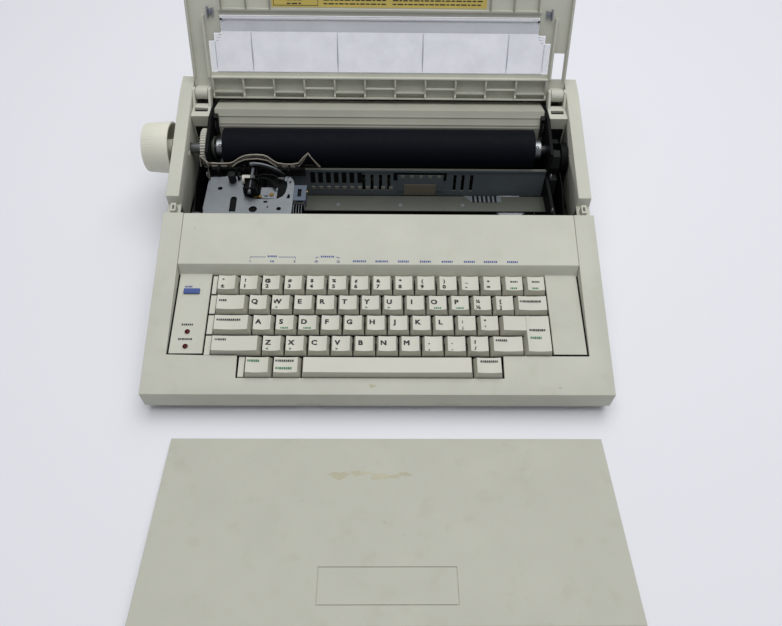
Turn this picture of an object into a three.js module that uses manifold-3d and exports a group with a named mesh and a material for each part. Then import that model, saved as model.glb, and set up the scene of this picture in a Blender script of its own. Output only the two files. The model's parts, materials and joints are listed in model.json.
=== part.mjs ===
// Portable electronic typewriter with its print bay open and its keyboard cover taken off.
// Millimetres, +X right, +Y away from the typist, +Z up, origin on the desk under the middle of the whole set.
import * as THREE from "three";
import { mergeVertices } from "three/addons/utils/BufferGeometryUtils.js";
import Module from "manifold-3d";

const wasm = await Module();
wasm.setup();

// Driving dimensions
const CLEAR = 0.3; // gap between pieces that touch
const RUN = 0.5; // gap round a piece that slides or turns
const CUT = 3; // overrun of every cut
const SHEET = 1.5; // pressed steel
const KEY_PITCH = 19.05;
const RIM_SLOPE = THREE.MathUtils.degToRad(14.7);
const KEY_SLOPE = THREE.MathUtils.degToRad(9.25);
const LID_OPEN = THREE.MathUtils.degToRad(130);

// Places along the keyboard and across it are counted in key pitches
const KEYBOARD_SHARES = { across: 15.25, rows: 5 };

const CASE = {
  sideDeck: 29.744,
  frontHeight: 28,
  skirtHeight: 9.5,
  wall: 2.5,
  railWidth: 18,
  cheekWidth: 12,
  notchLength: 16.4,
  notchDepth: 10,
  cheekReach: 47,
  rearMargin: 8.41,
  rearLean: 28,
  rearRise: 2,
  innerWall: 2,
  innerDrop: 16,
  bayWallBottom: 40,
  bayDepth: 70.133,
  fingerNotchWidth: 18.5,
  fingerNotchHeight: 3,
  fingerNotchPlace: 57.5,
  catchWidth: 5,
  catchLength: 8,
  catchHeight: 7,
  catchSlot: 2,
  padSize: 6,
  padDepth: 2,
  padDrop: 16,
  padAhead: 10,
};

const BASE = { footHeight: 3, floor: 2.5, wall: 2, wallTop: 18, rearMargin: 8, postSize: 8 };
const BED_POST_SHARES = { across: [-7, 7], up: [1, 4] };
const FOOT = { radius: 9, inset: 28 };
const DECK = {
  start: 13.5,
  rearGap: 1.49,
  stepRun: 3,
  backStrip: 48.6,
  thickness: 2.5,
  bedDepth: 7,
  bedThickness: 1.5,
  sideGap: 0.8,
};
const CAP = {
  rise: 7,
  skirt: 3,
  gap: 0.45,
  frontGap: 0.3,
  rowGap: 0.85,
  frontSlope: 2.6,
  backSlope: 3.1,
  sideSlope: 1.9,
  stem: 4,
  stemLength: 7,
  carrier: 6,
  carrierHeight: 1.4,
  ledgeWidth: 5.6,
  ledgeRise: 2,
};
const ALT = { width: 16.2, depth: 5.8, rise: 2.5, body: 5, margin: 5.8, place: 77 };
const LED = { radius: 2.2, rise: 0.8, body: 4, margin: 14.4, shiftPlace: 41, powerPlace: 27.6 };
const BOARD = { left: -125, right: 75, front: 45, back: 130, thickness: 1.6, height: 10, post: 6 };
const GLAND = { radius: 5, length: 9, margin: 53, height: 26, bore: 2 };

// From here to the carriage, places along Y are counted from the platen axis
const PLATEN = {
  axisZ: 73.5,
  radius: 19,
  leftGap: 12.2,
  rightGap: 13.2,
  shaftRadius: 5,
  collarRadius: 9.5,
  collarLength: 7,
};
const SUPPLY = { left: 60, right: 122, depth: 26, past: 8, height: 40 };
const KNOB = { standOff: 4, length: 25, openRadius: 24.5, endRadius: 22.5, wall: 2.5, hubRadius: 8 };
const SIDE_PLATE = { margin: 21, thickness: 3, ahead: 12, riser: -20, back: 47, lowTop: 58, rimGap: 1 };
const GEAR = { module: 0.8, platenTeeth: 44, idlerTeeth: 30, pinionTeeth: 12, width: 5, clearance: 0.12 };
const GEAR_PIN = 2;
const FEED_MOTOR = { radius: 13, length: 26 };
const FEED = { radius: 6, shaftRadius: 2.5, rollers: 4, rollerLength: 30, angle: -2.09 };
const CHUTE = {
  thickness: 1.6,
  footRise: 66,
  mouthOut: 2.2,
  mouthRise: 82.5,
  bendAhead: 15.64,
  bendDrop: 6.05,
  endBehind: 9.36,
  endDrop: 14.15,
};
const GUIDE = {
  gap: 1.5,
  thickness: 1.5,
  lean: 3.8,
  top: 66,
  bottom: 36,
  slot: 3,
  slotHeight: 18,
  slots: [-17, -8.9, -0.8, 7.3, 71.3, 79.1, 87.5],
};
const ROD = { inset: 8, z: 50, radius: 5 };
const STRIP = { front: -51, back: -31, z: 40.5 };
const BELT = {
  y: -53,
  leftGap: 14,
  rightGap: 32,
  pulleyRadius: 7,
  thickness: 1.2,
  width: 4.5,
  z: 33.8,
  pulleyPin: 2,
};
const DRIVE = { radius: 19 };

// Places on the carriage are counted along X from the axis of its type wheel
const CARRIAGE = {
  home: 42,
  frontGap: 1.4,
  halfWidth: 34,
  front: -81,
  back: -32,
  top: 65.7,
  bottom: 42.3,
  motorZ: 54,
  motorRadius: 12,
  motorFront: -61,
  wheelRadius: 24,
  wheelY: -27,
  wheelThickness: 1.2,
  petals: 24,
  hubRadius: 9,
  armThickness: 2.5,
  armHeight: 12,
};
const PLATE = {
  left: -42.5,
  right: 41.5,
  cutLeft: -9,
  cutRight: 28,
  cutFront: -62,
  tabFront: -63,
  tabBack: -44,
  holes: [
    [-31, 31.6, 2.5],
    [26.2, 7, 2.2],
    [3.5, 6, 4],
  ],
  slot: [-17.3, -12.3, 3, 18],
};
const HAMMER = { width: 12, front: -59, back: -37, height: 11.7, pinRadius: 1.5, pinZ: 75.5, reach: 3.5, travel: 3 };
const CARD = { centre: 8, half: 59, y: -23.6, thickness: 1.2, bottom: 71, dip: 78, peak: 89.5, hump: 85 };
const SPINDLE = { x: -19, y: -39, radius: 3.6, height: 9 };
const SPOOL = { railGap: 1.2, ahead: 2, radius: 7.8, height: 3.6, drop: 5.3, armHeight: 1.4 };

const LID = {
  pastBreak: 0.64,
  axisDrop: 3.608,
  crown: 7.46,
  skin: 2.5,
  wall: 2,
  lip: 0.5,
  rearReach: 6,
  wallStart: 14,
  pinRadius: 2.5,
  lugRadius: 5.5,
  armGap: 4,
  bandEnd: 15,
  bandCells: 11,
  bandRib: 1.5,
  bandDepth: 7,
  ribHigh: 1,
  ribLow: 4.6,
  windowStart: 18.4,
  windowStep1: 46.5,
  windowStep2: 53.5,
  windowEnd: 69,
  windowStepInset: 5.6,
  windowEndInset: 12.8,
  frontRib: 73,
  frontRibInsets: [33, 56, 78],
  frontRibDepth: 2.5,
  overhang: 0.9,
  holeStart: 14,
  holeEnd: 38,
};
const WINDOW = { thickness: 1.6, roll: 2.1, scores: [-122, -40.7, 40.7, 122], score: 1.2, scoreRise: 0.8 };
const BRACKET = { ahead: 6.64, depth: 19.5, drop: 6.64, height: 34, ear: 2.4, slot: 5, slotDepth: 6 };
const COVER = {
  width: 350,
  depth: 144,
  gap: 27,
  shift: 7.3,
  frontHeight: 20,
  rearHeight: 4,
  wall: 2,
  frameWidth: 98,
  frameDepth: 26,
  frameInset: 14,
  groove: 0.8,
};

// Lines that the rest is placed from
const keyLeft = -(KEYBOARD_SHARES.across * KEY_PITCH) / 2;
const halfWidth = -keyLeft + CASE.sideDeck + CASE.railWidth;
const railInner = halfWidth - CASE.railWidth;
const cheekInner = halfWidth - CASE.cheekWidth;
const plateX = cheekInner - SIDE_PLATE.margin;
const platenLeft = PLATEN.leftGap - plateX;
const platenRight = plateX - PLATEN.rightGap;
const rodPlace = CARRIAGE.front + ROD.inset;
const knobInner = -halfWidth - KNOB.standOff;
const beltLeft = BELT.leftGap - plateX;
const beltRight = plateX - BELT.rightGap;
const stripDepth = DECK.start + KEY_PITCH * Math.cos(KEY_SLOPE) - CLEAR;
const stepFoot = DECK.start + KEYBOARD_SHARES.rows * KEY_PITCH * Math.cos(KEY_SLOPE) + DECK.rearGap;
const capDepth = KEY_PITCH - CAP.rowGap;
const crease = stepFoot + DECK.stepRun;
const panelEnd = crease + DECK.backStrip;
const platenY = panelEnd + CARRIAGE.frontGap - CARRIAGE.front;
const hingeReach = CASE.cheekReach + LID.pastBreak;
const hingeY = platenY + hingeReach;
const cheekBreak = platenY + CASE.cheekReach;
const rimLocal = LID.axisDrop * Math.cos(RIM_SLOPE);
const lidEdge = rimLocal + RUN;
const lidTop = rimLocal + LID.crown;
const rearTop = hingeY + lidTop + CASE.rearMargin;
const caseDepth = rearTop + CASE.rearLean;
const floorTop = BASE.footHeight + BASE.floor;

// Height of the rim plane and of the key deck above the desk
const rimZ = (y) => CASE.frontHeight + y * Math.tan(RIM_SLOPE);
const bayZ = rimZ(panelEnd) - CASE.bayDepth;
const hingeZ = rimZ(hingeY) - LID.axisDrop - bayZ;
const deckZ = (y) => rimZ(DECK.start) + (y - DECK.start) * Math.tan(KEY_SLOPE);

// Colours and finishes
const material = (color, roughness, metalness = 0) =>
  new THREE.MeshStandardMaterial({ color, roughness, metalness });
const MATERIALS = {
  beige: material(0xbabbad, 0.6),
  panel: material(0xb8b9ac, 0.6),
  key: material(0xd0cec2, 0.5),
  blue: material(0x3a549e, 0.5),
  red: material(0x5a1416, 0.3),
  rubber: material(0x161822, 0.8),
  black: material(0x1b1c1e, 0.6),
  steel: material(0x969ea6, 0.35, 1),
  rod: material(0xc0c4c8, 0.2, 1),
  slate: material(0x3e4446, 0.6),
  olive: material(0x55584e, 0.6),
  white: material(0xe4e3dc, 0.5),
  clear: material(0xdfe4ec, 0.1),
  board: material(0x2f5a3a, 0.6),
  brass: material(0xb08a48, 0.35, 1),
  foot: material(0x202020, 0.9),
};

// Solids from three.js geometry
function solid(geometry, matrix = new THREE.Matrix4()) {
  const plain = new THREE.BufferGeometry();
  const source = geometry.index ? geometry.toNonIndexed() : geometry;
  plain.setAttribute("position", source.getAttribute("position").clone());
  plain.applyMatrix4(matrix);
  const merged = mergeVertices(plain, 1e-4);
  const vertProperties = merged.getAttribute("position").array;
  const triVerts = new Uint32Array(merged.index.array);
  return new wasm.Manifold(new wasm.Mesh({ numProp: 3, vertProperties, triVerts }));
}

function geometryOf(manifold) {
  const { vertProperties, triVerts } = manifold.getMesh();
  const geometry = new THREE.BufferGeometry();
  geometry.setAttribute("position", new THREE.BufferAttribute(vertProperties, 3));
  geometry.setIndex(new THREE.BufferAttribute(triVerts, 1));
  geometry.computeVertexNormals();
  return geometry;
}

const join = (...solids) => solids.reduce((sum, next) => sum.add(next));
const cut = (body, ...tools) => tools.reduce((rest, tool) => rest.subtract(tool), body);

function box(x0, x1, y0, y1, z0, z1, matrix) {
  const geometry = new THREE.BoxGeometry(x1 - x0, y1 - y0, z1 - z0);
  geometry.translate((x0 + x1) / 2, (y0 + y1) / 2, (z0 + z1) / 2);
  return solid(geometry, matrix);
}

function shapeOf(points) {
  return new THREE.Shape(points.map(([a, b]) => new THREE.Vector2(a, b)));
}

// A (y, z) outline carried along X
function prismX(points, x0, x1, matrix = new THREE.Matrix4()) {
  const geometry = new THREE.ExtrudeGeometry(shapeOf(points), { depth: x1 - x0, bevelEnabled: false });
  const turn = new THREE.Matrix4().set(0, 0, 1, x0, 1, 0, 0, 0, 0, 1, 0, 0, 0, 0, 0, 1);
  return solid(geometry, turn.premultiply(matrix));
}

// An (x, z) outline carried along Y
function prismY(points, y0, y1, matrix = new THREE.Matrix4()) {
  const geometry = new THREE.ExtrudeGeometry(shapeOf(points), { depth: y1 - y0, bevelEnabled: false });
  const turn = new THREE.Matrix4().set(1, 0, 0, 0, 0, 0, -1, y1, 0, 1, 0, 0, 0, 0, 0, 1);
  return solid(geometry, turn.premultiply(matrix));
}

// An (x, y) outline carried along Z
function prismZ(points, z0, z1, matrix = new THREE.Matrix4()) {
  const geometry = new THREE.ExtrudeGeometry(shapeOf(points), { depth: z1 - z0, bevelEnabled: false });
  geometry.translate(0, 0, z0);
  return solid(geometry, matrix);
}

function circle(u, v, radius, sides) {
  return Array.from({ length: sides }, (_, i) => {
    const angle = (2 * Math.PI * (i + 0.5)) / sides;
    return [u + radius * Math.cos(angle), v + radius * Math.sin(angle)];
  });
}

const rodX = (y, z, radius, x0, x1, sides = 24) => prismX(circle(y, z, radius, sides), x0, x1);
const rodY = (x, z, radius, y0, y1, sides = 24) => prismY(circle(x, z, radius, sides), y0, y1);
const rodZ = (x, y, radius, z0, z1, sides = 24) => prismZ(circle(x, y, radius, sides), z0, z1);

// Moves each edge of an outline sideways by its own distance, inwards when positive
function inset(points, distances) {
  const count = points.length;
  const edges = points.map(([a, b], i) => {
    const [c, d] = points[(i + 1) % count];
    const size = Math.hypot(c - a, d - b);
    const normal = [(b - d) / size, (c - a) / size];
    return { normal, offset: normal[0] * a + normal[1] * b + distances[i] };
  });
  return points.map((_, i) => {
    const p = edges[(i + count - 1) % count];
    const q = edges[i];
    const det = p.normal[0] * q.normal[1] - p.normal[1] * q.normal[0];
    return [
      (p.offset * q.normal[1] - q.offset * p.normal[1]) / det,
      (p.normal[0] * q.offset - q.normal[0] * p.offset) / det,
    ];
  });
}

// A block whose top face is smaller than its base: [x0, x1, y0, y1] at two heights
function frustum(base, top, z0, z1) {
  const corners = (r, z) => [
    [r[0], r[2], z],
    [r[1], r[2], z],
    [r[1], r[3], z],
    [r[0], r[3], z],
  ];
  const points = [...corners(base, z0), ...corners(top, z1)];
  const faces = [0, 2, 1, 0, 3, 2, 4, 5, 6, 4, 6, 7];
  for (let i = 0; i < 4; i++) {
    const j = (i + 1) % 4;
    faces.push(i, j, j + 4, i, j + 4, i + 4);
  }
  const geometry = new THREE.BufferGeometry();
  geometry.setAttribute("position", new THREE.Float32BufferAttribute(points.flat(), 3));
  geometry.setIndex(faces);
  return solid(geometry);
}

// The machine stands in a group that puts the origin under the middle of the set
const set = new THREE.Group();
set.name = "electronic_typewriter";
const machine = new THREE.Group();
set.add(machine);

function put(parent, name, manifold, finish) {
  const mesh = new THREE.Mesh(geometryOf(manifold), finish);
  mesh.name = name;
  parent.add(mesh);
  return mesh;
}

const glandX = halfWidth - GLAND.margin;

// Outline of the upper case seen from the side
const cheekTop = rimZ(cheekBreak);
const caseOutline = [
  [0, CASE.skirtHeight],
  [caseDepth, CASE.skirtHeight],
  [rearTop, cheekTop + CASE.rearRise],
  [cheekBreak, cheekTop],
  [0, CASE.frontHeight],
];

// The band between two heights below the rim plane, over a stretch of the depth
function rimBand(y0, y1, depth0, depth1) {
  return [
    [y0, rimZ(y0) - depth1],
    [y1, rimZ(y1) - depth1],
    [y1, rimZ(y1) - depth0],
    [y0, rimZ(y0) - depth0],
  ];
}

const notchEnd = panelEnd + CASE.notchLength;
const FRONT_ROW_SHARES = { left: 1.55, right: 13 };
const rowFiveLeft = keyLeft + FRONT_ROW_SHARES.left * KEY_PITCH - DECK.sideGap;
const rowFiveRight = keyLeft + FRONT_ROW_SHARES.right * KEY_PITCH + DECK.sideGap;

function sideOfCase(side) {
  const outer = side * halfWidth;
  const span = (inner, thick) => [inner, inner + side * thick].sort((a, b) => a - b);
  const rail = prismX(
    rimBand(stripDepth - CASE.wall, panelEnd, CASE.wall / 2, CASE.innerDrop),
    ...span(side * railInner, CASE.innerWall),
  );
  const lipTop = DECK.thickness + CLEAR;
  const lip = prismX(
    [
      [stripDepth + CLEAR, deckZ(stripDepth + CLEAR) - lipTop - CASE.innerWall],
      [stepFoot, deckZ(stepFoot) - lipTop - CASE.innerWall],
      [stepFoot, deckZ(stepFoot) - lipTop],
      [stripDepth + CLEAR, deckZ(stripDepth + CLEAR) - lipTop],
    ],
    ...span(side * (railInner - CASE.innerWall), 2 * CASE.innerWall),
  );
  const cheek = prismX(
    [
      [notchEnd, CASE.bayWallBottom],
      [rearTop, CASE.bayWallBottom],
      [rearTop, cheekTop],
      [cheekBreak, cheekTop - CASE.wall / 2],
      [notchEnd, rimZ(notchEnd) - CASE.wall / 2],
    ],
    ...span(side * cheekInner, CASE.innerWall),
  );
  const floorOfNotch = prismX(
    rimBand(panelEnd - CASE.wall, notchEnd + CASE.wall, CASE.notchDepth, CASE.notchDepth + CASE.wall),
    ...span(side * cheekInner, CASE.cheekWidth - CASE.wall / 2),
  );
  const ends = [panelEnd - CASE.wall, notchEnd].map((y) =>
    prismX(rimBand(y, y + CASE.wall, CASE.wall / 2, CASE.notchDepth + CASE.wall / 2),
      ...span(side * cheekInner, CASE.cheekWidth - CASE.wall / 2)));
  const catchX = span(side * (cheekInner + CASE.wall), CASE.catchWidth);
  const catchY = (panelEnd + notchEnd) / 2;
  const catchBlock = prismX(
    rimBand(catchY - CASE.catchLength / 2, catchY + CASE.catchLength / 2,
      CASE.notchDepth - CASE.catchHeight, CASE.notchDepth + CASE.wall / 2),
    ...catchX,
  );
  const catchGap = box(
    (catchX[0] + catchX[1] - CASE.catchSlot) / 2,
    (catchX[0] + catchX[1] + CASE.catchSlot) / 2,
    catchY - CASE.catchLength / 4,
    catchY + CASE.catchLength / 4,
    rimZ(catchY) - CASE.notchDepth + CASE.catchSlot,
    rimZ(catchY) + CUT,
  );
  const padY = platenY - CASE.padAhead;
  const padZ = rimZ(padY) - CASE.padDrop;
  const pad = box(
    ...span(side * (cheekInner - CASE.padDepth / 4), CASE.padDepth),
    padY - CASE.padSize / 2,
    padY + CASE.padSize / 2,
    padZ - CASE.padSize / 2,
    padZ + CASE.padSize / 2,
  );
  return { pieces: [rail, lip, cheek, floorOfNotch, ...ends, cut(catchBlock, catchGap), pad], outer };
}

function upperCase() {
  const hollow = inset(caseOutline, [-CUT, CASE.wall, CASE.wall, CASE.wall, CASE.wall]);
  let shell = cut(
    prismX(caseOutline, -halfWidth, halfWidth),
    prismX(hollow, CASE.wall - halfWidth, halfWidth - CASE.wall),
    box(-railInner, railInner, stripDepth, panelEnd + CUT, rimZ(0) - CUT, 2 * cheekTop),
    box(-cheekInner, cheekInner, panelEnd, rearTop - CASE.wall, CASE.bayWallBottom, 2 * cheekTop),
    box(rowFiveLeft, rowFiveRight, DECK.start, stripDepth + CUT, rimZ(0) - CUT, cheekTop),
  );
  for (const side of [-1, 1]) {
    const [low, high] = [side * cheekInner, side * (halfWidth + CUT)].sort((a, b) => a - b);
    shell = cut(shell, prismX(rimBand(panelEnd, notchEnd, -CUT, CASE.notchDepth), low, high));
    shell = join(shell, ...sideOfCase(side).pieces);
    const place = side * CASE.fingerNotchPlace;
    shell = cut(
      shell,
      box(
        place - CASE.fingerNotchWidth / 2,
        place + CASE.fingerNotchWidth / 2,
        -CUT,
        CASE.wall + CUT,
        0,
        CASE.skirtHeight + CASE.fingerNotchHeight,
      ),
    );
  }
  const shaftHole = rodX(platenY, bayZ + PLATEN.axisZ, PLATEN.shaftRadius + RUN, -halfWidth - CUT, -cheekInner + CUT);
  const glandHole = rodY(glandX, GLAND.height, GLAND.radius + CLEAR, rearTop, caseDepth + CUT);
  return cut(shell, shaftHole, glandHole);
}

// Keyboard frame: local y runs up the key slope, local z stands square to the deck
const keyboard = new THREE.Group();
keyboard.position.set(0, DECK.start, rimZ(DECK.start));
keyboard.rotation.x = KEY_SLOPE;
keyboard.updateMatrix();
machine.add(keyboard);
const openingHalf = -keyLeft + DECK.sideGap;
const altLeft = ALT.margin - railInner;
const ledX = LED.margin - railInner;

function keyboardPanel() {
  const front = stripDepth + CLEAR;
  const back = panelEnd - CLEAR;
  const top = [
    [front, deckZ(front)],
    [stepFoot, deckZ(stepFoot)],
    [crease, rimZ(crease)],
    [back, rimZ(back)],
  ];
  const outline = [...top.map(([y, z]) => [y, z - DECK.thickness]), ...top.toReversed()];
  const altHole = box(
    altLeft - RUN,
    altLeft + ALT.width + RUN,
    ALT.place - RUN,
    ALT.place + ALT.depth + RUN,
    -DECK.thickness - CUT,
    CUT,
    keyboard.matrix,
  );
  const ledHoles = [LED.shiftPlace, LED.powerPlace].map((place) =>
    prismZ(circle(ledX, place, LED.radius + CLEAR, 16), -DECK.thickness - CUT, CUT, keyboard.matrix));
  return cut(
    prismX(outline, CLEAR - railInner, railInner - CLEAR),
    box(-openingHalf, openingHalf, 0, stepFoot, 0, 2 * cheekTop),
    altHole,
    ...ledHoles,
  );
}

// Key rows counted from the space bar, places in key pitches from the left end of the keyboard
const rowY = (row) => row * KEY_PITCH;
const placeX = (units) => keyLeft + units * KEY_PITCH;

function cap(from, to, row, rows = 1) {
  const base = [
    placeX(from) + CAP.gap,
    placeX(to) - CAP.gap,
    rowY(row) + CAP.frontGap,
    rowY(row + rows - 1) + CAP.frontGap + capDepth,
  ];
  const top = [
    base[0] + CAP.sideSlope,
    base[1] - CAP.sideSlope,
    base[2] + CAP.frontSlope,
    base[3] - CAP.backSlope,
  ];
  return frustum(base, top, -CAP.skirt, CAP.rise);
}

function ledge(from, to, row) {
  const base = [placeX(from) + CAP.gap, placeX(to), rowY(row) + CAP.frontGap, rowY(row) + CAP.frontGap + capDepth];
  const top = [base[0] + CAP.gap, base[1], base[2] + CAP.gap, base[3] - CAP.gap];
  return frustum(base, top, -CAP.skirt, CAP.ledgeRise);
}

function stem(units, row) {
  const x = placeX(units);
  const y = rowY(row) + KEY_PITCH / 2;
  const half = CAP.stem / 2;
  return box(x - half, x + half, y - half, y + half, -CAP.skirt - CAP.stemLength, CAP.skirt - CAP.rise / 2);
}

// Single keys: name, row, left end, right end, places of their stems, width of their left ledge
const SINGLE_KEY_SHARES = [
  ["tab_key", 3, 0, 1.75, [1.1], 1],
  ["backspace_key", 3, 13.75, 15.25, [14.5], 0],
  ["shift_lock_key", 2, 0, 2, [1.25], 1],
  ["left_shift_key", 1, 0, 2.5, [1.5], 1],
  ["right_shift_key", 1, 12.5, 14, [13.25], 0],
  ["code_key", 0, 1.55, 3.05, [2.45], 1],
  ["word_out_key", 0, 3.05, 4.3, [3.675], 0],
  ["space_bar", 0, 4.3, 11.72, [5.6, 10.4], 0],
  ["correct_key", 0, 11.72, 13, [12.36], 0],
];
// Character rows: name, row, left end, number of keys, width of the left ledge in pitches
const CHARACTER_ROW_SHARES = [
  ["number_row_keys", 4, 0.25, 15, 0.25],
  ["upper_row_keys", 3, 1.75, 12, 0],
  ["middle_row_keys", 2, 2, 11, 0],
  ["lower_row_keys", 1, 2.5, 10, 0],
];
const RETURN_SHARES = { left: 13, stepLeft: 14, right: 15.25, upperRow: 2, lowerRow: 1, stem: 14.6 };
const ledgeUnits = CAP.ledgeWidth / KEY_PITCH;

function singleKey([, row, from, to, stems, hasLedge]) {
  const start = from + hasLedge * ledgeUnits;
  const pieces = [cap(start, to, row), ...stems.map((units) => stem(units, row))];
  if (hasLedge) pieces.push(ledge(from, start + ledgeUnits, row));
  return join(...pieces);
}

function returnKey() {
  const { left, stepLeft, right, upperRow, lowerRow, stem: place } = RETURN_SHARES;
  return join(
    cap(left, right, upperRow),
    cap(stepLeft, right, lowerRow, 2),
    stem(place, upperRow),
    stem(place, lowerRow),
  );
}

function characterRow([, row, from, count, ledgeWidth]) {
  const pieces = [];
  for (let i = 0; i < count; i++) {
    pieces.push(cap(from + i, from + i + 1, row), stem(from + i + 0.5, row));
  }
  const middle = rowY(row) + KEY_PITCH / 2;
  pieces.push(
    box(
      placeX(from + 0.5),
      placeX(from + count - 0.5),
      middle - CAP.carrier / 2,
      middle + CAP.carrier / 2,
      -CAP.skirt,
      CAP.carrierHeight - CAP.skirt,
    ),
  );
  if (ledgeWidth) pieces.push(ledge(from - ledgeWidth, from + ledgeWidth, row));
  return join(...pieces);
}

function stemPlaces() {
  const places = [
    [RETURN_SHARES.stem, RETURN_SHARES.upperRow],
    [RETURN_SHARES.stem, RETURN_SHARES.lowerRow],
  ];
  for (const [, row, , , stems] of SINGLE_KEY_SHARES) places.push(...stems.map((units) => [units, row]));
  for (const [, row, from, count] of CHARACTER_ROW_SHARES) {
    for (let i = 0; i < count; i++) places.push([from + i + 0.5, row]);
  }
  return places;
}

const bedTop = -DECK.bedDepth;
const bedBottom = bedTop - DECK.bedThickness;

function keyBed() {
  const half = CAP.stem / 2 + CLEAR;
  const holes = stemPlaces().map(([units, row]) => {
    const x = placeX(units);
    const y = rowY(row) + KEY_PITCH / 2;
    return box(x - half, x + half, y - half, y + half, bedBottom - CUT, bedTop + CUT);
  });
  const plate = box(-openingHalf - CAP.carrier, openingHalf + CAP.carrier, 0, rowY(KEYBOARD_SHARES.rows), bedBottom, bedTop);
  return cut(plate, ...holes);
}

// Base pan, feet and what stands on the pan
const panHalf = halfWidth - CASE.wall - CLEAR;
const panFront = CASE.wall + CLEAR;
const panBack = caseDepth - BASE.rearMargin;

function bedPost(x, units) {
  const y = DECK.start + units * KEY_PITCH;
  const half = BASE.postSize / 2;
  const under = (at) => deckZ(at) + (bedBottom - CLEAR) / Math.cos(KEY_SLOPE);
  return prismX(
    [
      [y - half, floorTop - CLEAR],
      [y + half, floorTop - CLEAR],
      [y + half, under(y + half)],
      [y - half, under(y - half)],
    ],
    x - half,
    x + half,
  );
}

function basePan() {
  const tray = cut(
    box(-panHalf, panHalf, panFront, panBack, BASE.footHeight, BASE.wallTop),
    box(BASE.wall - panHalf, panHalf - BASE.wall, panFront + BASE.wall, panBack - BASE.wall, floorTop, BASE.wallTop + CUT),
  );
  const posts = BED_POST_SHARES.across.flatMap((x) =>
    BED_POST_SHARES.up.map((units) => bedPost(x * KEY_PITCH, units)));
  const boardPosts = [BOARD.left + BOARD.post, BOARD.right - BOARD.post].flatMap((x) =>
    [BOARD.front + BOARD.post, BOARD.back - BOARD.post].map((y) =>
      box(x - BOARD.post / 2, x + BOARD.post / 2, y - BOARD.post / 2, y + BOARD.post / 2, floorTop - CLEAR, BOARD.height - CLEAR)));
  return join(tray, ...posts, ...boardPosts);
}

// Print bay, placed from the platen axis
const bay = new THREE.Group();
bay.position.set(0, platenY, bayZ);
machine.add(bay);

// Print chassis: two side plates that carry the platen, the rods and the feed parts
const feedDistance = PLATEN.radius + FEED.radius + CLEAR;
const feedY = feedDistance * Math.cos(FEED.angle);
const feedZ = PLATEN.axisZ + feedDistance * Math.sin(FEED.angle);
const idlerZ = PLATEN.axisZ - (GEAR.module * (GEAR.platenTeeth + GEAR.idlerTeeth)) / 2;
const pinionReach = (GEAR.module * (GEAR.idlerTeeth + GEAR.pinionTeeth)) / 2;
const PINION_ANGLE = -Math.PI / 6;
const pinionY = pinionReach * Math.cos(PINION_ANGLE);
const pinionZ = idlerZ + pinionReach * Math.sin(PINION_ANGLE);
const plateBottom = floorTop + CLEAR - bayZ;

function sidePlate(side) {
  const [low, high] = [side * plateX, side * (plateX + SIDE_PLATE.thickness)].sort((a, b) => a - b);
  const outline = [
    [CARRIAGE.front - SIDE_PLATE.ahead, plateBottom],
    [SIDE_PLATE.back, plateBottom],
    [SIDE_PLATE.back, hingeZ - BRACKET.drop - CUT],
    [PLATEN.radius, rimZ(platenY + PLATEN.radius) - SIDE_PLATE.rimGap - bayZ],
    [SIDE_PLATE.riser, rimZ(platenY + SIDE_PLATE.riser) - SIDE_PLATE.rimGap - bayZ],
    [SIDE_PLATE.riser, SIDE_PLATE.lowTop],
    [CARRIAGE.front - SIDE_PLATE.ahead, SIDE_PLATE.lowTop],
  ];
  const holes = [
    rodX(0, PLATEN.axisZ, PLATEN.shaftRadius + CLEAR, low - CUT, high + CUT),
    rodX(rodPlace, ROD.z, ROD.radius + CLEAR, low - CUT, high + CUT),
    rodX(feedY, feedZ, FEED.shaftRadius + CLEAR, low - CUT, high + CUT, 16),
  ];
  if (side < 0) holes.push(rodX(pinionY, pinionZ, GEAR_PIN + CLEAR, low - CUT, high + CUT, 16));
  const body = cut(prismX(outline, low, high), ...holes);
  if (side > 0) return body;
  const pin = rodX(0, idlerZ, GEAR_PIN, low - CLEAR - GEAR.width - CLEAR, low + SIDE_PLATE.thickness / 2, 16);
  return join(body, pin);
}

// A spur gear about X with straight-sided teeth, a tooth pointing at the given angle
function gear(teeth, bore, y, z, x0, x1, toothAngle) {
  const pitch = (GEAR.module * teeth) / 2;
  const outer = pitch + 0.9 * GEAR.module - GEAR.clearance;
  const root = pitch - 1.15 * GEAR.module;
  const shares = [
    [-0.31, root],
    [-0.13, outer],
    [0.13, outer],
    [0.31, root],
  ];
  const points = [];
  for (let i = 0; i < teeth; i++) {
    for (const [share, radius] of shares) {
      const angle = toothAngle + ((i + share) * 2 * Math.PI) / teeth;
      points.push([y + radius * Math.cos(angle), z + radius * Math.sin(angle)]);
    }
  }
  return cut(prismX(points, x0, x1), rodX(y, z, bore, x0 - CUT, x1 + CUT, 16));
}

const gearOuterX = -(plateX + SIDE_PLATE.thickness + CLEAR);
const gearX = [gearOuterX - GEAR.width, gearOuterX];

function knob() {
  const outer = knobInner - KNOB.length;
  const rim = [
    [0, outer],
    [KNOB.endRadius, outer],
    [KNOB.openRadius, knobInner],
    [KNOB.openRadius - KNOB.wall, knobInner],
    [KNOB.endRadius - KNOB.wall, outer + KNOB.wall],
    [KNOB.hubRadius, outer + KNOB.wall],
    [KNOB.hubRadius, knobInner],
    [0, knobInner],
  ];
  const geometry = new THREE.LatheGeometry(rim.map(([r, x]) => new THREE.Vector2(r, x)), 40);
  const turn = new THREE.Matrix4().set(0, 1, 0, 0, 1, 0, 0, 0, 0, 0, -1, PLATEN.axisZ, 0, 0, 0, 1);
  const cup = solid(geometry, turn);
  const bore = rodX(0, PLATEN.axisZ, PLATEN.shaftRadius + CLEAR, outer + KNOB.wall, knobInner + CUT);
  return cut(cup, bore);
}

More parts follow.
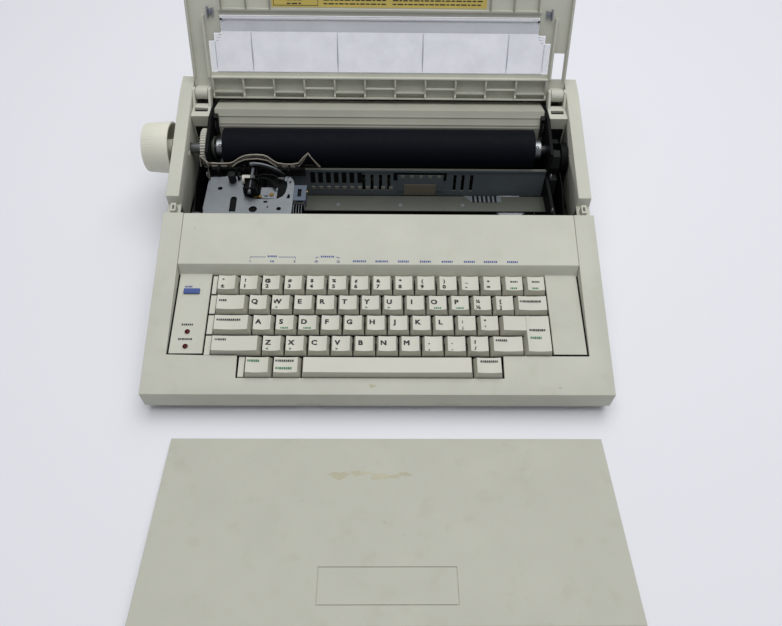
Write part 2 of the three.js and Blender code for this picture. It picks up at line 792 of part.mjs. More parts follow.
function platenShaft() {
  const { axisZ, collarRadius, collarLength } = PLATEN;
  const end = knobInner - KNOB.length + KNOB.wall + CLEAR;
  const shaft = rodX(0, axisZ, PLATEN.shaftRadius, end, plateX + SIDE_PLATE.thickness);
  const left = platenLeft - CLEAR;
  const right = platenRight + CLEAR;
  return join(
    shaft,
    rodX(0, axisZ, collarRadius, left - collarLength, left),
    rodX(0, axisZ, collarRadius, right, right + collarLength),
  );
}

function platenRoller() {
  const tube = rodX(0, PLATEN.axisZ, PLATEN.radius, platenLeft, platenRight, 40);
  const bore = rodX(0, PLATEN.axisZ, PLATEN.shaftRadius + CLEAR, platenLeft - CUT, platenRight + CUT);
  return cut(tube, bore);
}

function feedRollers() {
  const reach = plateX + SIDE_PLATE.thickness;
  const pieces = [rodX(feedY, feedZ, FEED.shaftRadius, -reach, reach, 16)];
  const pitch = (platenRight - platenLeft) / FEED.rollers;
  for (let i = 0; i < FEED.rollers; i++) {
    const middle = platenLeft + (i + 0.5) * pitch;
    pieces.push(rodX(feedY, feedZ, FEED.radius, middle - FEED.rollerLength / 2, middle + FEED.rollerLength / 2, 20));
  }
  return join(...pieces);
}

function paperChute() {
  const bend = [hingeReach - CHUTE.bendAhead, hingeZ - CHUTE.bendDrop];
  const end = [hingeReach + CHUTE.endBehind, hingeZ - CHUTE.endDrop];
  const foot = [PLATEN.radius, CHUTE.footRise];
  const mouth = [PLATEN.radius + CHUTE.mouthOut, CHUTE.mouthRise];
  const line = [foot, mouth, bend, end];
  const outline = [...line.map(([y, z]) => [y, z - CHUTE.thickness * 2]), ...line.toReversed()];
  outline[0] = [foot[0] + CHUTE.thickness, foot[1]];
  outline[1] = [mouth[0] + CHUTE.thickness, mouth[1] - CHUTE.thickness];
  outline[2] = [bend[0] + CHUTE.thickness / 2, bend[1] - CHUTE.thickness];
  outline[3] = [end[0], end[1] - CHUTE.thickness];
  const reach = plateX - CLEAR;
  return prismX(outline, -reach, reach);
}

// Slotted plate in front of the platen with a rolled top edge, its foot leaning forward
function guidePlate() {
  const face = -PLATEN.radius - GUIDE.gap;
  const reach = plateX - CLEAR;
  const foot = face - GUIDE.lean;
  const neck = GUIDE.top - 2 * GUIDE.thickness;
  const plate = prismX(
    [
      [foot, GUIDE.bottom],
      [foot + GUIDE.thickness, GUIDE.bottom],
      [face + GUIDE.thickness, neck],
      [face + GUIDE.thickness, GUIDE.top],
      [face - GUIDE.thickness / 2, GUIDE.top],
      [face - GUIDE.thickness / 2, neck],
      [face, neck],
    ],
    -reach,
    reach,
  );
  const middle = (GUIDE.top + GUIDE.bottom) / 2;
  const tools = GUIDE.slots.map((x) =>
    box(
      x,
      x + GUIDE.slot,
      foot - CUT,
      face + CUT,
      middle - GUIDE.slotHeight / 2,
      middle + GUIDE.slotHeight / 2,
    ));
  return cut(plate, ...tools);
}

// Lower front rail with the pin of the left belt pulley
function frontRail() {
  const reach = plateX - CLEAR;
  const rail = box(-reach, reach, STRIP.front, STRIP.back, STRIP.z, STRIP.z + SHEET);
  const tab = box(beltLeft - BELT.pulleyRadius, beltLeft + BELT.pulleyRadius, BELT.y - BELT.pulleyPin, STRIP.front + CUT, STRIP.z, STRIP.z + SHEET);
  const pin = rodZ(beltLeft, BELT.y, BELT.pulleyPin, BELT.z - CUT, STRIP.z + SHEET / 2, 16);
  return join(rail, tab, pin);
}

function pulley(x) {
  const wheel = rodZ(x, BELT.y, BELT.pulleyRadius, BELT.z - CLEAR, BELT.z + BELT.width + CLEAR, 28);
  return wheel;
}

function beltLoop() {
  const loop = (radius) => {
    const points = [];
    for (let i = 0; i <= 12; i++) {
      const angle = -Math.PI / 2 + (Math.PI * i) / 12;
      points.push([beltRight + radius * Math.cos(angle), BELT.y + radius * Math.sin(angle)]);
    }
    for (let i = 0; i <= 12; i++) {
      const angle = Math.PI / 2 + (Math.PI * i) / 12;
      points.push([beltLeft + radius * Math.cos(angle), BELT.y + radius * Math.sin(angle)]);
    }
    return points;
  };
  const inner = BELT.pulleyRadius + CLEAR;
  const outer = prismZ(loop(inner + BELT.thickness), BELT.z, BELT.z + BELT.width);
  return cut(outer, prismZ(loop(inner), BELT.z - CUT, BELT.z + BELT.width + CUT));
}

const motorTop = BELT.z - 2 * CLEAR;

// Carriage that travels along the rod, with the type wheel and its hammer
const carriage = new THREE.Group();
carriage.position.set(CARRIAGE.home - plateX, 0, 0);
bay.add(carriage);

const spoolX = SPOOL.railGap + SPOOL.radius - railInner + plateX - CARRIAGE.home;
const spoolY = CARRIAGE.front - SPOOL.ahead;
const spoolZ = CARRIAGE.top - SPOOL.drop;

function carriageFrame() {
  const c = CARRIAGE;
  const half = c.halfWidth;
  const pocket = c.motorRadius + CLEAR;
  const body = cut(
    box(-half, half, c.front, c.back, c.bottom, c.top),
    rodX(rodPlace, ROD.z, ROD.radius + RUN, -half - CUT, half + CUT),
    box(-pocket, pocket, c.motorFront, c.back + CUT, c.bottom - CUT, c.top + CUT),
  );
  const clampX = [-c.armHeight / 2, c.armHeight / 2];
  const beltFront = BELT.y - BELT.pulleyRadius - CLEAR - BELT.thickness;
  const clampZ = BELT.z + BELT.width + CLEAR;
  const clampY = [beltFront - c.armThickness, beltFront + c.armThickness];
  const clamp = join(
    box(...clampX, ...clampY, clampZ, clampZ + c.armThickness),
    box(...clampX, clampY[0], c.motorFront, clampZ, c.bottom + CUT),
  );
  const armEnd = CARD.y - CLEAR;
  const armLow = c.top - c.armHeight;
  const cardArms = [-half, half - c.armThickness].flatMap((x) => [
    box(x, x + c.armThickness, c.back - CUT, armEnd, armLow, c.top),
    box(x, x + c.armThickness, c.back + CLEAR, armEnd, armLow, CARD.bottom + CUT),
  ]);
  const spoolTop = spoolZ - CLEAR;
  const spoolArm = box(
    spoolX - c.armThickness,
    CUT - half,
    spoolY - c.armThickness,
    c.front + CUT,
    spoolTop - SPOOL.armHeight,
    spoolTop,
  );
  return join(body, clamp, ...cardArms, spoolArm);
}

function carriagePlate() {
  const c = CARRIAGE;
  const low = c.top + CLEAR;
  const high = low + SHEET;
  const plate = box(PLATE.left, PLATE.right, c.front, c.back, low, high);
  const tab = box(PLATE.right - CUT, PLATE.right + c.hubRadius, PLATE.tabFront, PLATE.tabBack, low, high);
  const holes = PLATE.holes.map(([x, y, radius]) => rodZ(x, c.front + y, radius, low - CUT, high + CUT, 16));
  const [slotLeft, slotRight, slotFront, slotBack] = PLATE.slot;
  return cut(
    join(plate, tab),
    box(PLATE.cutLeft, PLATE.cutRight, PLATE.cutFront, c.back + CUT, low - CUT, high + CUT),
    ...holes,
    box(slotLeft, slotRight, c.front + slotFront, c.front + slotBack, low - CUT, high + CUT),
    rodZ(SPINDLE.x, SPINDLE.y, SPINDLE.radius / 2 + CLEAR, low - CUT, high + CUT, 16),
  );
}

function wheelMotor() {
  const c = CARRIAGE;
  const body = rodY(0, c.motorZ, c.motorRadius, c.motorFront + CLEAR, c.back, 28);
  const shaft = rodY(0, c.motorZ, GEAR_PIN, c.back - CUT, c.wheelY + c.wheelThickness, 16);
  return join(body, shaft);
}

// Type wheel: a hub with narrow petals
function daisyWheel() {
  const c = CARRIAGE;
  const points = [];
  const petal = [
    [0, c.hubRadius],
    [0.3, c.hubRadius],
    [0.3, c.wheelRadius],
    [0.75, c.wheelRadius],
    [0.75, c.hubRadius],
  ];
  for (let i = 0; i < c.petals; i++) {
    for (const [share, radius] of petal) {
      const angle = (2 * Math.PI * (i + share)) / c.petals;
      points.push([radius * Math.cos(angle), c.motorZ + radius * Math.sin(angle)]);
    }
  }
  const wheel = prismY(points, c.wheelY, c.wheelY + c.wheelThickness);
  return cut(wheel, rodY(0, c.motorZ, GEAR_PIN + CLEAR, c.wheelY - CUT, c.wheelY + CUT, 16));
}

const solenoidBottom = CARRIAGE.motorZ + CARRIAGE.motorRadius + CLEAR;

function solenoid() {
  const half = HAMMER.width / 2;
  const top = solenoidBottom + HAMMER.height;
  const block = box(-half, half, HAMMER.front, HAMMER.back, solenoidBottom, top);
  return cut(block, rodY(0, HAMMER.pinZ, HAMMER.pinRadius + CLEAR, HAMMER.front - CUT, HAMMER.back + CUT, 12));
}

function hammerPin() {
  const nose = CARRIAGE.wheelY - RUN - HAMMER.travel;
  return rodY(0, HAMMER.pinZ, HAMMER.pinRadius, HAMMER.front - HAMMER.reach, nose, 12);
}

function cardHolder() {
  const { centre, half, bottom, dip, peak, hump } = CARD;
  const shares = [
    [-1, bottom],
    [1, bottom],
    [1, dip - CUT],
    [0.84, peak],
    [0.66, dip],
    [0.3, dip],
    [0.24, hump],
    [-0.24, hump],
    [-0.32, dip],
    [-0.74, dip],
    [-0.9, peak],
    [-1, dip],
  ];
  const points = shares.map(([share, z]) => [centre + share * half, z]);
  return prismY(points, CARD.y, CARD.y + CARD.thickness);
}

function spindle() {
  const low = CARRIAGE.top + CLEAR + SHEET + CLEAR;
  const post = rodZ(SPINDLE.x, SPINDLE.y, SPINDLE.radius, low, low + SPINDLE.height, 16);
  const tail = rodZ(SPINDLE.x, SPINDLE.y, SPINDLE.radius / 2, CARRIAGE.top + CLEAR, low + CUT, 12);
  return join(post, tail);
}

function correctionSpool() {
  return rodZ(spoolX, spoolY, SPOOL.radius, spoolZ, spoolZ + SPOOL.height, 24);
}

// Lid, drawn shut: local y runs up the rim slope from the hinge axis, local z points out of the case
const lidInner = lidTop - LID.skin;
const lidLength = (hingeY - panelEnd) / Math.cos(RIM_SLOPE) + LID.overhang;
const lidNotch = (hingeY - notchEnd) / Math.cos(RIM_SLOPE) + RUN;
const lidHalf = cheekInner - RUN;
const windowHalf = plateX + SIDE_PLATE.thickness;
const windowStepHalf = windowHalf - LID.windowStepInset;
const windowEndHalf = windowHalf - LID.windowEndInset;
const armInner = plateX + LID.armGap;
const windowCentre = LID.windowEnd - WINDOW.roll - RUN;
const stepped = (gap) => [
  [windowHalf - gap, -LID.windowStart - gap],
  [windowHalf - gap, -LID.windowStep1 + gap],
  [windowStepHalf - gap, -LID.windowStep1 + gap],
  [windowStepHalf - gap, -LID.windowStep2 + gap],
  [windowEndHalf - gap, -LID.windowStep2 + gap],
];

function windowOutline(gap, end) {
  const right = [...stepped(gap), [windowEndHalf - gap, -end]];
  return [...right.map(([x, y]) => [-x, y]), ...right.toReversed()];
}

// Outline of the lid seen square to its skin, from the given rear edge, with the wide strip at its front
const lidOutline = (rear) => [
  [-lidHalf, rear],
  [-lidHalf, -lidNotch],
  [RUN - halfWidth, -lidNotch],
  [RUN - halfWidth, -lidLength],
  [halfWidth - RUN, -lidLength],
  [halfWidth - RUN, -lidNotch],
  [lidHalf, -lidNotch],
  [lidHalf, rear],
];

function lidWalls() {
  const outline = lidOutline(-LID.wallStart);
  const sides = (depth) => outline.map((_, i) => (i === outline.length - 1 ? 0 : depth));
  const inner = inset(outline, [...sides(LID.lip + LID.wall).slice(0, -1), -CUT]);
  const outer = prismZ(inset(outline, sides(LID.lip)), lidEdge, lidTop - CLEAR);
  return cut(outer, prismZ(inner, -CUT, lidTop + CUT));
}

const lugLeft = plateX + SIDE_PLATE.thickness + CLEAR + BRACKET.ear + RUN;
const lugRight = cheekInner - CLEAR - BRACKET.ear - RUN;

// Lug that turns on the hinge pin
function lidLug(side) {
  const arc = Array.from({ length: 13 }, (_, i) => {
    const angle = Math.PI * (1 + i / 12);
    return [LID.lugRadius * Math.cos(angle), LID.lugRadius * Math.sin(angle)];
  });
  const outline = [...arc, [LID.lugRadius, lidTop - CLEAR], [-LID.lugRadius, lidTop - CLEAR]];
  return prismX(outline, ...[side * lugLeft, side * lugRight].sort((p, q) => p - q));
}

function accessLid() {
  const w = LID.wall;
  const ribLow = lidInner - LID.frontRibDepth;
  const pieces = [prismZ(lidOutline(LID.rearReach), lidInner, lidTop), lidWalls(), ...ribBand()];
  pieces.push(box(-windowEndHalf, windowEndHalf, -LID.frontRib - w, -LID.frontRib, ribLow, lidTop - CLEAR));
  for (const side of [-1, 1]) {
    const wall = (x, thick, y0, y1, z0) =>
      box(...[side * x, side * (x - thick)].sort((p, q) => p - q), y0, y1, z0, lidTop - CLEAR);
    pieces.push(wall(armInner + w, w, -LID.windowEnd, -LID.wallStart, lidEdge), lidLug(side));
    for (const margin of LID.frontRibInsets) {
      const front = -lidLength + LID.lip + w / 2;
      pieces.push(wall(cheekInner - margin, LID.bandRib, front, -LID.frontRib - w / 2, ribLow - CLEAR));
    }
  }
  const pinHole = rodX(0, 0, LID.pinRadius + CLEAR, -halfWidth, halfWidth, 20);
  const window = prismZ(windowOutline(0, LID.windowEnd), -CUT, lidTop + CUT);
  const armHole = box(
    armInner + w + LID.lip,
    lidHalf - w - 2 * LID.lip,
    -LID.holeEnd,
    -LID.holeStart,
    0,
    lidTop + CUT,
  );
  return cut(join(...pieces), pinHole, window, armHole);
}

// Stiffening band between the window and the hinge: upright ribs and one cross rib a cell
function ribBand() {
  const half = windowHalf - LID.bandRib;
  const cell = (2 * half) / LID.bandCells;
  const front = -LID.bandEnd;
  const high = lidInner + CLEAR;
  const t = LID.bandRib;
  const low = lidInner - LID.bandDepth;
  const back = LID.rearReach - LID.lip;
  const pieces = [
    box(-half - t, half + t, front, front + t, low, high),
    box(-half - t, half + t, back - t, back, low + LID.skin, high),
  ];
  for (let i = 0; i <= LID.bandCells; i++) {
    const x = -half + i * cell;
    pieces.push(box(x - t / 2, x + t / 2, front + t / 2, back - t / 2, low + LID.lip, high));
    if (i < LID.bandCells) {
      const y = i % 2 ? -LID.ribLow : -LID.ribHigh;
      pieces.push(box(x, x + cell, y - t / 2, y + t / 2, low + LID.skin / 2, high));
    }
  }
  return pieces;
}

function lidWindow() {
  const high = lidInner + WINDOW.thickness;
  const pane = prismZ(windowOutline(CLEAR + RUN, windowCentre), lidInner, high);
  const half = windowEndHalf - CLEAR - RUN;
  const roll = rodX(-windowCentre, lidInner + WINDOW.thickness / 2, WINDOW.roll, -half, half, 16);
  const scores = WINDOW.scores.map((x) =>
    box(x - WINDOW.score / 2, x + WINDOW.score / 2, -windowCentre, -LID.windowStart - CUT, high - CLEAR, high + WINDOW.scoreRise));
  return join(pane, roll, ...scores);
}

const bracketBack = hingeReach - BRACKET.ahead;
const bracketFront = bracketBack - BRACKET.depth;
const bracketTop = hingeZ - BRACKET.drop;
const bracketBottom = bracketTop - BRACKET.height;

function hingeBracket(side) {
  const inner = plateX + SIDE_PLATE.thickness + CLEAR;
  const outer = cheekInner - CLEAR;
  const span = (a, b) => [side * a, side * b].sort((p, q) => p - q);
  const block = box(...span(inner, outer), bracketFront, bracketBack, bracketBottom, bracketTop);
  const middle = (bracketFront + bracketBack) / 2;
  const slot = box(...span(inner + CASE.wall, outer - CASE.wall), middle - BRACKET.slot / 2, middle + BRACKET.slot / 2, bracketTop - BRACKET.slotDepth, bracketTop + CUT);
  const earOutline = [
    [bracketBack - LID.lugRadius, bracketBottom],
    [bracketBack, bracketBottom],
    [bracketBack, bracketTop - LID.lugRadius],
    [hingeReach + LID.lugRadius, hingeZ],
    [hingeReach + LID.lugRadius / 2, hingeZ + LID.lugRadius],
    [hingeReach - LID.lugRadius / 2, hingeZ + LID.lugRadius],
    [bracketBack - LID.lugRadius, bracketTop - CLEAR],
  ];
  const ears = [
    span(inner, lugLeft - RUN),
    span(lugRight + RUN, outer),
  ].map((ear) => prismX(earOutline, ...ear));
  const pin = rodX(hingeReach, hingeZ, LID.pinRadius, ...span(inner + CLEAR, outer - CLEAR), 20);
  return join(cut(block, slot), ...ears, pin);
}

// Keyboard cover: a wedge-shaped shell, open below, lying in front of the machine
function hardCover() {
  const outline = [
    [0, 0],
    [COVER.depth, 0],
    [COVER.depth, COVER.rearHeight],
    [0, COVER.frontHeight],
  ];
  const half = COVER.width / 2;
  const hollow = inset(outline, [-CUT, COVER.wall, COVER.wall, COVER.wall]);
  const fall = Math.atan((COVER.frontHeight - COVER.rearHeight) / COVER.depth);
  const onTop = new THREE.Matrix4().makeRotationX(-fall);
  onTop.setPosition(0, 0, COVER.frontHeight);
  const ring = (grow, low) =>
    box(
      -COVER.frameWidth / 2 - grow,
      COVER.frameWidth / 2 + grow,
      COVER.frameInset - grow,
      COVER.frameInset + COVER.frameDepth + grow,
      -low,
      low + CUT,
      onTop,
    );
  const groove = cut(ring(COVER.groove / 2, COVER.groove), ring(-COVER.groove / 2, 2 * COVER.groove));
  return cut(prismX(outline, -half, half), prismX(hollow, COVER.wall - half, half - COVER.wall), groove);
}

// Assembly
const M = MATERIALS;
put(machine, "base_pan", basePan(), M.beige);
put(machine, "upper_case", upperCase(), M.beige);
put(machine, "keyboard_panel", keyboardPanel(), M.panel);
for (const [name, x, y] of [
  ["foot_front_left", -1, panFront + FOOT.inset],
  ["foot_front_right", 1, panFront + FOOT.inset],
  ["foot_rear_left", -1, panBack - FOOT.inset],
  ["foot_rear_right", 1, panBack - FOOT.inset],
]) {
  const foot = put(machine, name, rodZ(0, 0, FOOT.radius, 0, BASE.footHeight), M.foot);
  foot.position.set(x * (panHalf - FOOT.inset), y, 0);
}
put(machine, "main_board", box(BOARD.left, BOARD.right, BOARD.front, BOARD.back, BOARD.height, BOARD.height + BOARD.thickness), M.board);
const supplyBack = rearTop - platenY + SUPPLY.past;
put(bay, "power_transformer", box(SUPPLY.left, SUPPLY.right, supplyBack - SUPPLY.depth, supplyBack, plateBottom, plateBottom + SUPPLY.height), M.steel);
const slope = (caseDepth - rearTop) / (cheekTop + CASE.rearRise - CASE.skirtHeight);
const glandY = caseDepth - (GLAND.height - CASE.skirtHeight) * slope;
put(
  machine,
  "cord_gland",
  cut(
    rodY(glandX, GLAND.height, GLAND.radius, glandY - GLAND.length, glandY + GLAND.length / 3),
    rodY(glandX, GLAND.height, GLAND.bore, glandY - GLAND.length - CUT, glandY + GLAND.length, 16),
  ),
  M.black,
);

put(keyboard, "key_bed_plate", keyBed(), M.black);
for (const key of SINGLE_KEY_SHARES) put(keyboard, key[0], singleKey(key), M.key);
put(keyboard, "return_key", returnKey(), M.key);
for (const row of CHARACTER_ROW_SHARES) put(keyboard, row[0], characterRow(row), M.key);
const alt = put(keyboard, "alt_button", box(0, ALT.width, 0, ALT.depth, -ALT.body, ALT.rise), M.blue);
alt.position.set(altLeft, ALT.place, 0);
for (const [name, place] of [
  ["shift_led", LED.shiftPlace],
  ["power_led", LED.powerPlace],
]) {
  const led = put(keyboard, name, rodZ(0, 0, LED.radius, -LED.body, LED.rise, 16), M.red);
  led.position.set(ledX, place, 0);
}

put(bay, "left_side_plate", sidePlate(-1), M.black);
put(bay, "right_side_plate", sidePlate(1), M.black);
put(bay, "platen_roller", platenRoller(), M.rubber);
put(bay, "platen_shaft", platenShaft(), M.rod);
put(bay, "platen_knob", knob(), M.beige);
const shaftBore = PLATEN.shaftRadius + CLEAR;
put(bay, "platen_gear", gear(GEAR.platenTeeth, shaftBore, 0, PLATEN.axisZ, ...gearX, -Math.PI / 2), M.white);
const idlerPhase = Math.PI / 2 + Math.PI / GEAR.idlerTeeth;
put(bay, "idler_gear", gear(GEAR.idlerTeeth, GEAR_PIN + CLEAR, 0, idlerZ, ...gearX, idlerPhase), M.white);
const idlerTooth = (2 * Math.PI) / GEAR.idlerTeeth;
const nearTooth = idlerPhase + Math.round((PINION_ANGLE - idlerPhase) / idlerTooth) * idlerTooth;
const pinionPhase = PINION_ANGLE + Math.PI - ((nearTooth - PINION_ANGLE) * GEAR.idlerTeeth) / GEAR.pinionTeeth + Math.PI / GEAR.pinionTeeth;
put(bay, "motor_pinion", gear(GEAR.pinionTeeth, GEAR_PIN + CLEAR, pinionY, pinionZ, ...gearX, pinionPhase), M.brass);
const motorLeft = -plateX + CLEAR;
put(
  bay,
  "line_feed_motor",
  join(
    rodX(pinionY, pinionZ, FEED_MOTOR.radius, motorLeft, motorLeft + FEED_MOTOR.length),
    rodX(pinionY, pinionZ, GEAR_PIN, gearX[0], motorLeft + CUT, 16),
  ),
  M.steel,
);
put(bay, "feed_rollers", feedRollers(), M.rubber);
put(bay, "paper_chute", paperChute(), M.beige);
put(bay, "paper_guide_plate", guidePlate(), M.slate);
put(bay, "carriage_rod", rodX(rodPlace, ROD.z, ROD.radius, -plateX - SIDE_PLATE.thickness, plateX + SIDE_PLATE.thickness), M.rod);
put(bay, "front_rail", frontRail(), M.olive);
put(
  bay,
  "carriage_motor",
  join(
    rodZ(beltRight, BELT.y, DRIVE.radius, plateBottom, motorTop, 32),
    rodZ(beltRight, BELT.y, BELT.pulleyPin, motorTop - CUT, BELT.z + BELT.width, 16),
  ),
  M.steel,
);
const pulleyBore = (x) => rodZ(x, BELT.y, BELT.pulleyPin + CLEAR, BELT.z - CUT, BELT.z + BELT.width + CUT, 16);
put(bay, "drive_pulley", cut(pulley(beltRight), pulleyBore(beltRight)), M.brass);
put(bay, "idler_pulley", cut(pulley(beltLeft), pulleyBore(beltLeft)), M.white);
put(bay, "carriage_belt", beltLoop(), M.black);

put(carriage, "carriage_frame", carriageFrame(), M.black);
put(carriage, "carriage_plate", carriagePlate(), M.steel);
put(carriage, "wheel_motor", wheelMotor(), M.steel);
put(carriage, "daisy_wheel", daisyWheel(), M.black);
put(carriage, "hammer_solenoid", solenoid(), M.black);
put(carriage, "print_hammer", hammerPin(), M.brass);
put(carriage, "card_holder", cardHolder(), M.clear);
put(carriage, "ribbon_spindle", spindle(), M.white);
put(carriage, "correction_spool", correctionSpool(), M.slate);

for (const [side, name] of [
  [-1, "lid_hinge_left"],
  [1, "lid_hinge_right"],
]) {
  put(bay, name, hingeBracket(side), M.beige);
}
const lid = new THREE.Group();
lid.position.set(0, hingeReach, hingeZ);
lid.rotation.x = RIM_SLOPE - LID_OPEN;
bay.add(lid);
put(lid, "access_lid", accessLid(), M.beige);
put(lid, "lid_window", lidWindow(), M.clear);

const cover = put(machine, "keyboard_cover", hardCover(), M.beige);
cover.position.set(COVER.shift, -COVER.gap - COVER.depth, 0);

// The set reaches from the knob to the right wall, and from the cover to the top of the open lid
const lidLean = RIM_SLOPE - LID_OPEN;
const lidRear = hingeY - lidLength * Math.cos(lidLean) - lidTop * Math.sin(lidLean);
const left = knobInner - KNOB.length;
const front = -COVER.gap - COVER.depth;
machine.position.set(-(left + halfWidth) / 2, -(front + lidRear) / 2, 0);

export default set;
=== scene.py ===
"""Portable electronic typewriter with its print bay open: its looks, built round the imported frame.

Lengths are millimetres until a Form turns them into the row frame's metres.
"""

from __future__ import annotations

import json
import logging
import math
from collections.abc import Callable
from dataclasses import dataclass
from enum import Enum
from itertools import product

import bmesh
import bpy
from mathutils import Matrix, Vector
from mathutils.bvhtree import BVHTree
from mathutils.geometry import tessellate_polygon


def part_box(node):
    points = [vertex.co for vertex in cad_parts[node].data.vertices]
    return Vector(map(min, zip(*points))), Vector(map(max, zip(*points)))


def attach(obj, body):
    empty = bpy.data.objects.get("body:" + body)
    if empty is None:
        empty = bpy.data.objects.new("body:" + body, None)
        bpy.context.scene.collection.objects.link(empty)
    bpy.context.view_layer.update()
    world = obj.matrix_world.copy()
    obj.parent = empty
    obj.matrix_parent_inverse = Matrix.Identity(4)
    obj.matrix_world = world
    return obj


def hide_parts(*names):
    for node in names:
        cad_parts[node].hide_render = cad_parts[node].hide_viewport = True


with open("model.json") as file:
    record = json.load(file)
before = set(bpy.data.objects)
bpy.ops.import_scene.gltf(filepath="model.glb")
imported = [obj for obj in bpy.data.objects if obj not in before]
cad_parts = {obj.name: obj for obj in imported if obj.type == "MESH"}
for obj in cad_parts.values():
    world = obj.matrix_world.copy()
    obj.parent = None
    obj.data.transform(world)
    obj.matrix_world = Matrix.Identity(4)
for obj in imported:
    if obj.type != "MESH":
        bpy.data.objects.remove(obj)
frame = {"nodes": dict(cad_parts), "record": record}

MM = 0.001
log = logging.getLogger("typewriter")

KEY_SLOPE = math.radians(9.25)
RIM_SLOPE = math.radians(14.7)
LID_OPEN = math.radians(130)
RIM_START = 28.0
DECK_START = 13.5
KEY_PITCH = 19.05
KEY_LEFT = -15.25 / 2 * KEY_PITCH
PLATEN_Y = 243.0
PLATEN_Z = 73.5
WHEEL_X = -118.0
WHEEL_Z = 45.5
LID_INNER = 8.45

CLOUD_MM, GLOSS_MM, SPECK_MM, SMEAR_MM, HAZE_MM = 38, 9, 2.2, 14, 22
GLOSS_SPREAD = 0.08
RELIEF = 0.1 * MM
CAP_SHARE = 0.7
FLAT_LIMIT = math.radians(0.3)
EDGE_LIMIT = math.radians(35)

Point = tuple[float, float, float]
Outline = list[tuple[float, float]]
Line = tuple[tuple[float, float], ...]
Row = tuple[float, ...]


def rim_z(y: float) -> float:
    """Height of the rim plane at a depth, in millimetres."""
    return RIM_START + y * math.tan(RIM_SLOPE)


def machine_frame() -> Matrix:
    """From the front top edge's middle, at desk height, to the row frame."""
    low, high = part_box("upper_case")
    return Matrix.Translation(((low.x + high.x) / 2, low.y, 0)) @ Matrix.Scale(MM, 4)


def deck_frame() -> Matrix:
    """From the key deck (right, up the slope, square to it) to the row frame."""
    place = Matrix.Translation((0, DECK_START, rim_z(DECK_START)))
    return machine_frame() @ place @ Matrix.Rotation(KEY_SLOPE, 4, "X")


def rim_frame() -> Matrix:
    """From the rim plane (right, up the slope, square to it) to the row frame."""
    place = Matrix.Translation((0, 0, RIM_START))
    return machine_frame() @ place @ Matrix.Rotation(RIM_SLOPE, 4, "X")


def lid_frame() -> Matrix:
    """From the lid (right, from the hinge to the rear, outwards) to the row frame."""
    joints = frame["record"]["behaviour"]["joints"]
    hinge = next(joint["pos_m"] for joint in joints if joint["name"] == "lid_turn")
    turn = Matrix.Rotation(RIM_SLOPE - LID_OPEN, 4, "X")
    return Matrix.Translation(hinge) @ turn @ Matrix.Scale(MM, 4)


def linear(channel: float) -> float:
    """One colour channel from display value (0 to 255) to linear light."""
    c = channel / 255
    return c / 12.92 if c <= 0.04045 else ((c + 0.055) / 1.055) ** 2.4


def grey(share: float) -> tuple[float, float, float, float]:
    """A grey of one share of white."""
    return (share, share, share, 1)


class Surface(Enum):
    """Ways a finish is textured."""

    MOULDED = "moulded"
    BRUSHED = "brushed"
    RUBBER = "rubber"
    CLEAR = "clear"
    PRINTED = "printed"


class Wiring:
    """Adds and joins the shader nodes of one material."""

    def __init__(self, tree: bpy.types.NodeTree) -> None:
        """Starts from a new material's tree."""
        self.tree = tree
        self.shader = tree.nodes["Principled BSDF"]
        self.place = self.node("TexCoord").outputs["Object"]

    def fill(self, node: bpy.types.Node, **inputs) -> bpy.types.Node:
        """Sets inputs of a node to values, or joins them to outputs of other nodes."""
        for name, value in inputs.items():
            socket = node.inputs[name.replace("_", " ")]
            if isinstance(value, bpy.types.NodeSocket):
                self.tree.links.new(value, socket)
            else:
                socket.default_value = value
        return node

    def node(self, kind: str, **inputs) -> bpy.types.Node:
        """Adds a node with its inputs filled."""
        return self.fill(self.tree.nodes.new("ShaderNode" + kind), **inputs)

    def noise(self, size_mm: float, detail: float, place=None) -> bpy.types.NodeSocket:
        """Noise of a grain size, on the piece's own coordinates unless told another place."""
        place = self.place if place is None else place
        noise = self.node("TexNoise", Vector=place, Scale=1 / (size_mm * MM), Detail=detail)
        return noise.outputs["Fac"]

    def ramp(self, value: bpy.types.NodeSocket, *stops: tuple) -> bpy.types.NodeSocket:
        """A value as a colour between two stops, each a position and a colour."""
        ramp = self.node("ValToRGB", Fac=value)
        for element, (position, colour) in zip(ramp.color_ramp.elements, stops):
            element.position = position
            element.color = colour
        return ramp.outputs["Color"]

    def multiply(self, colour: bpy.types.NodeSocket, by: bpy.types.NodeSocket):
        """One colour times another."""
        mix = self.node("Mix", Factor=1.0)
        mix.data_type = "RGBA"
        mix.blend_type = "MULTIPLY"
        self.tree.links.new(colour, mix.inputs[6])
        self.tree.links.new(by, mix.inputs[7])
        return mix.outputs[2]


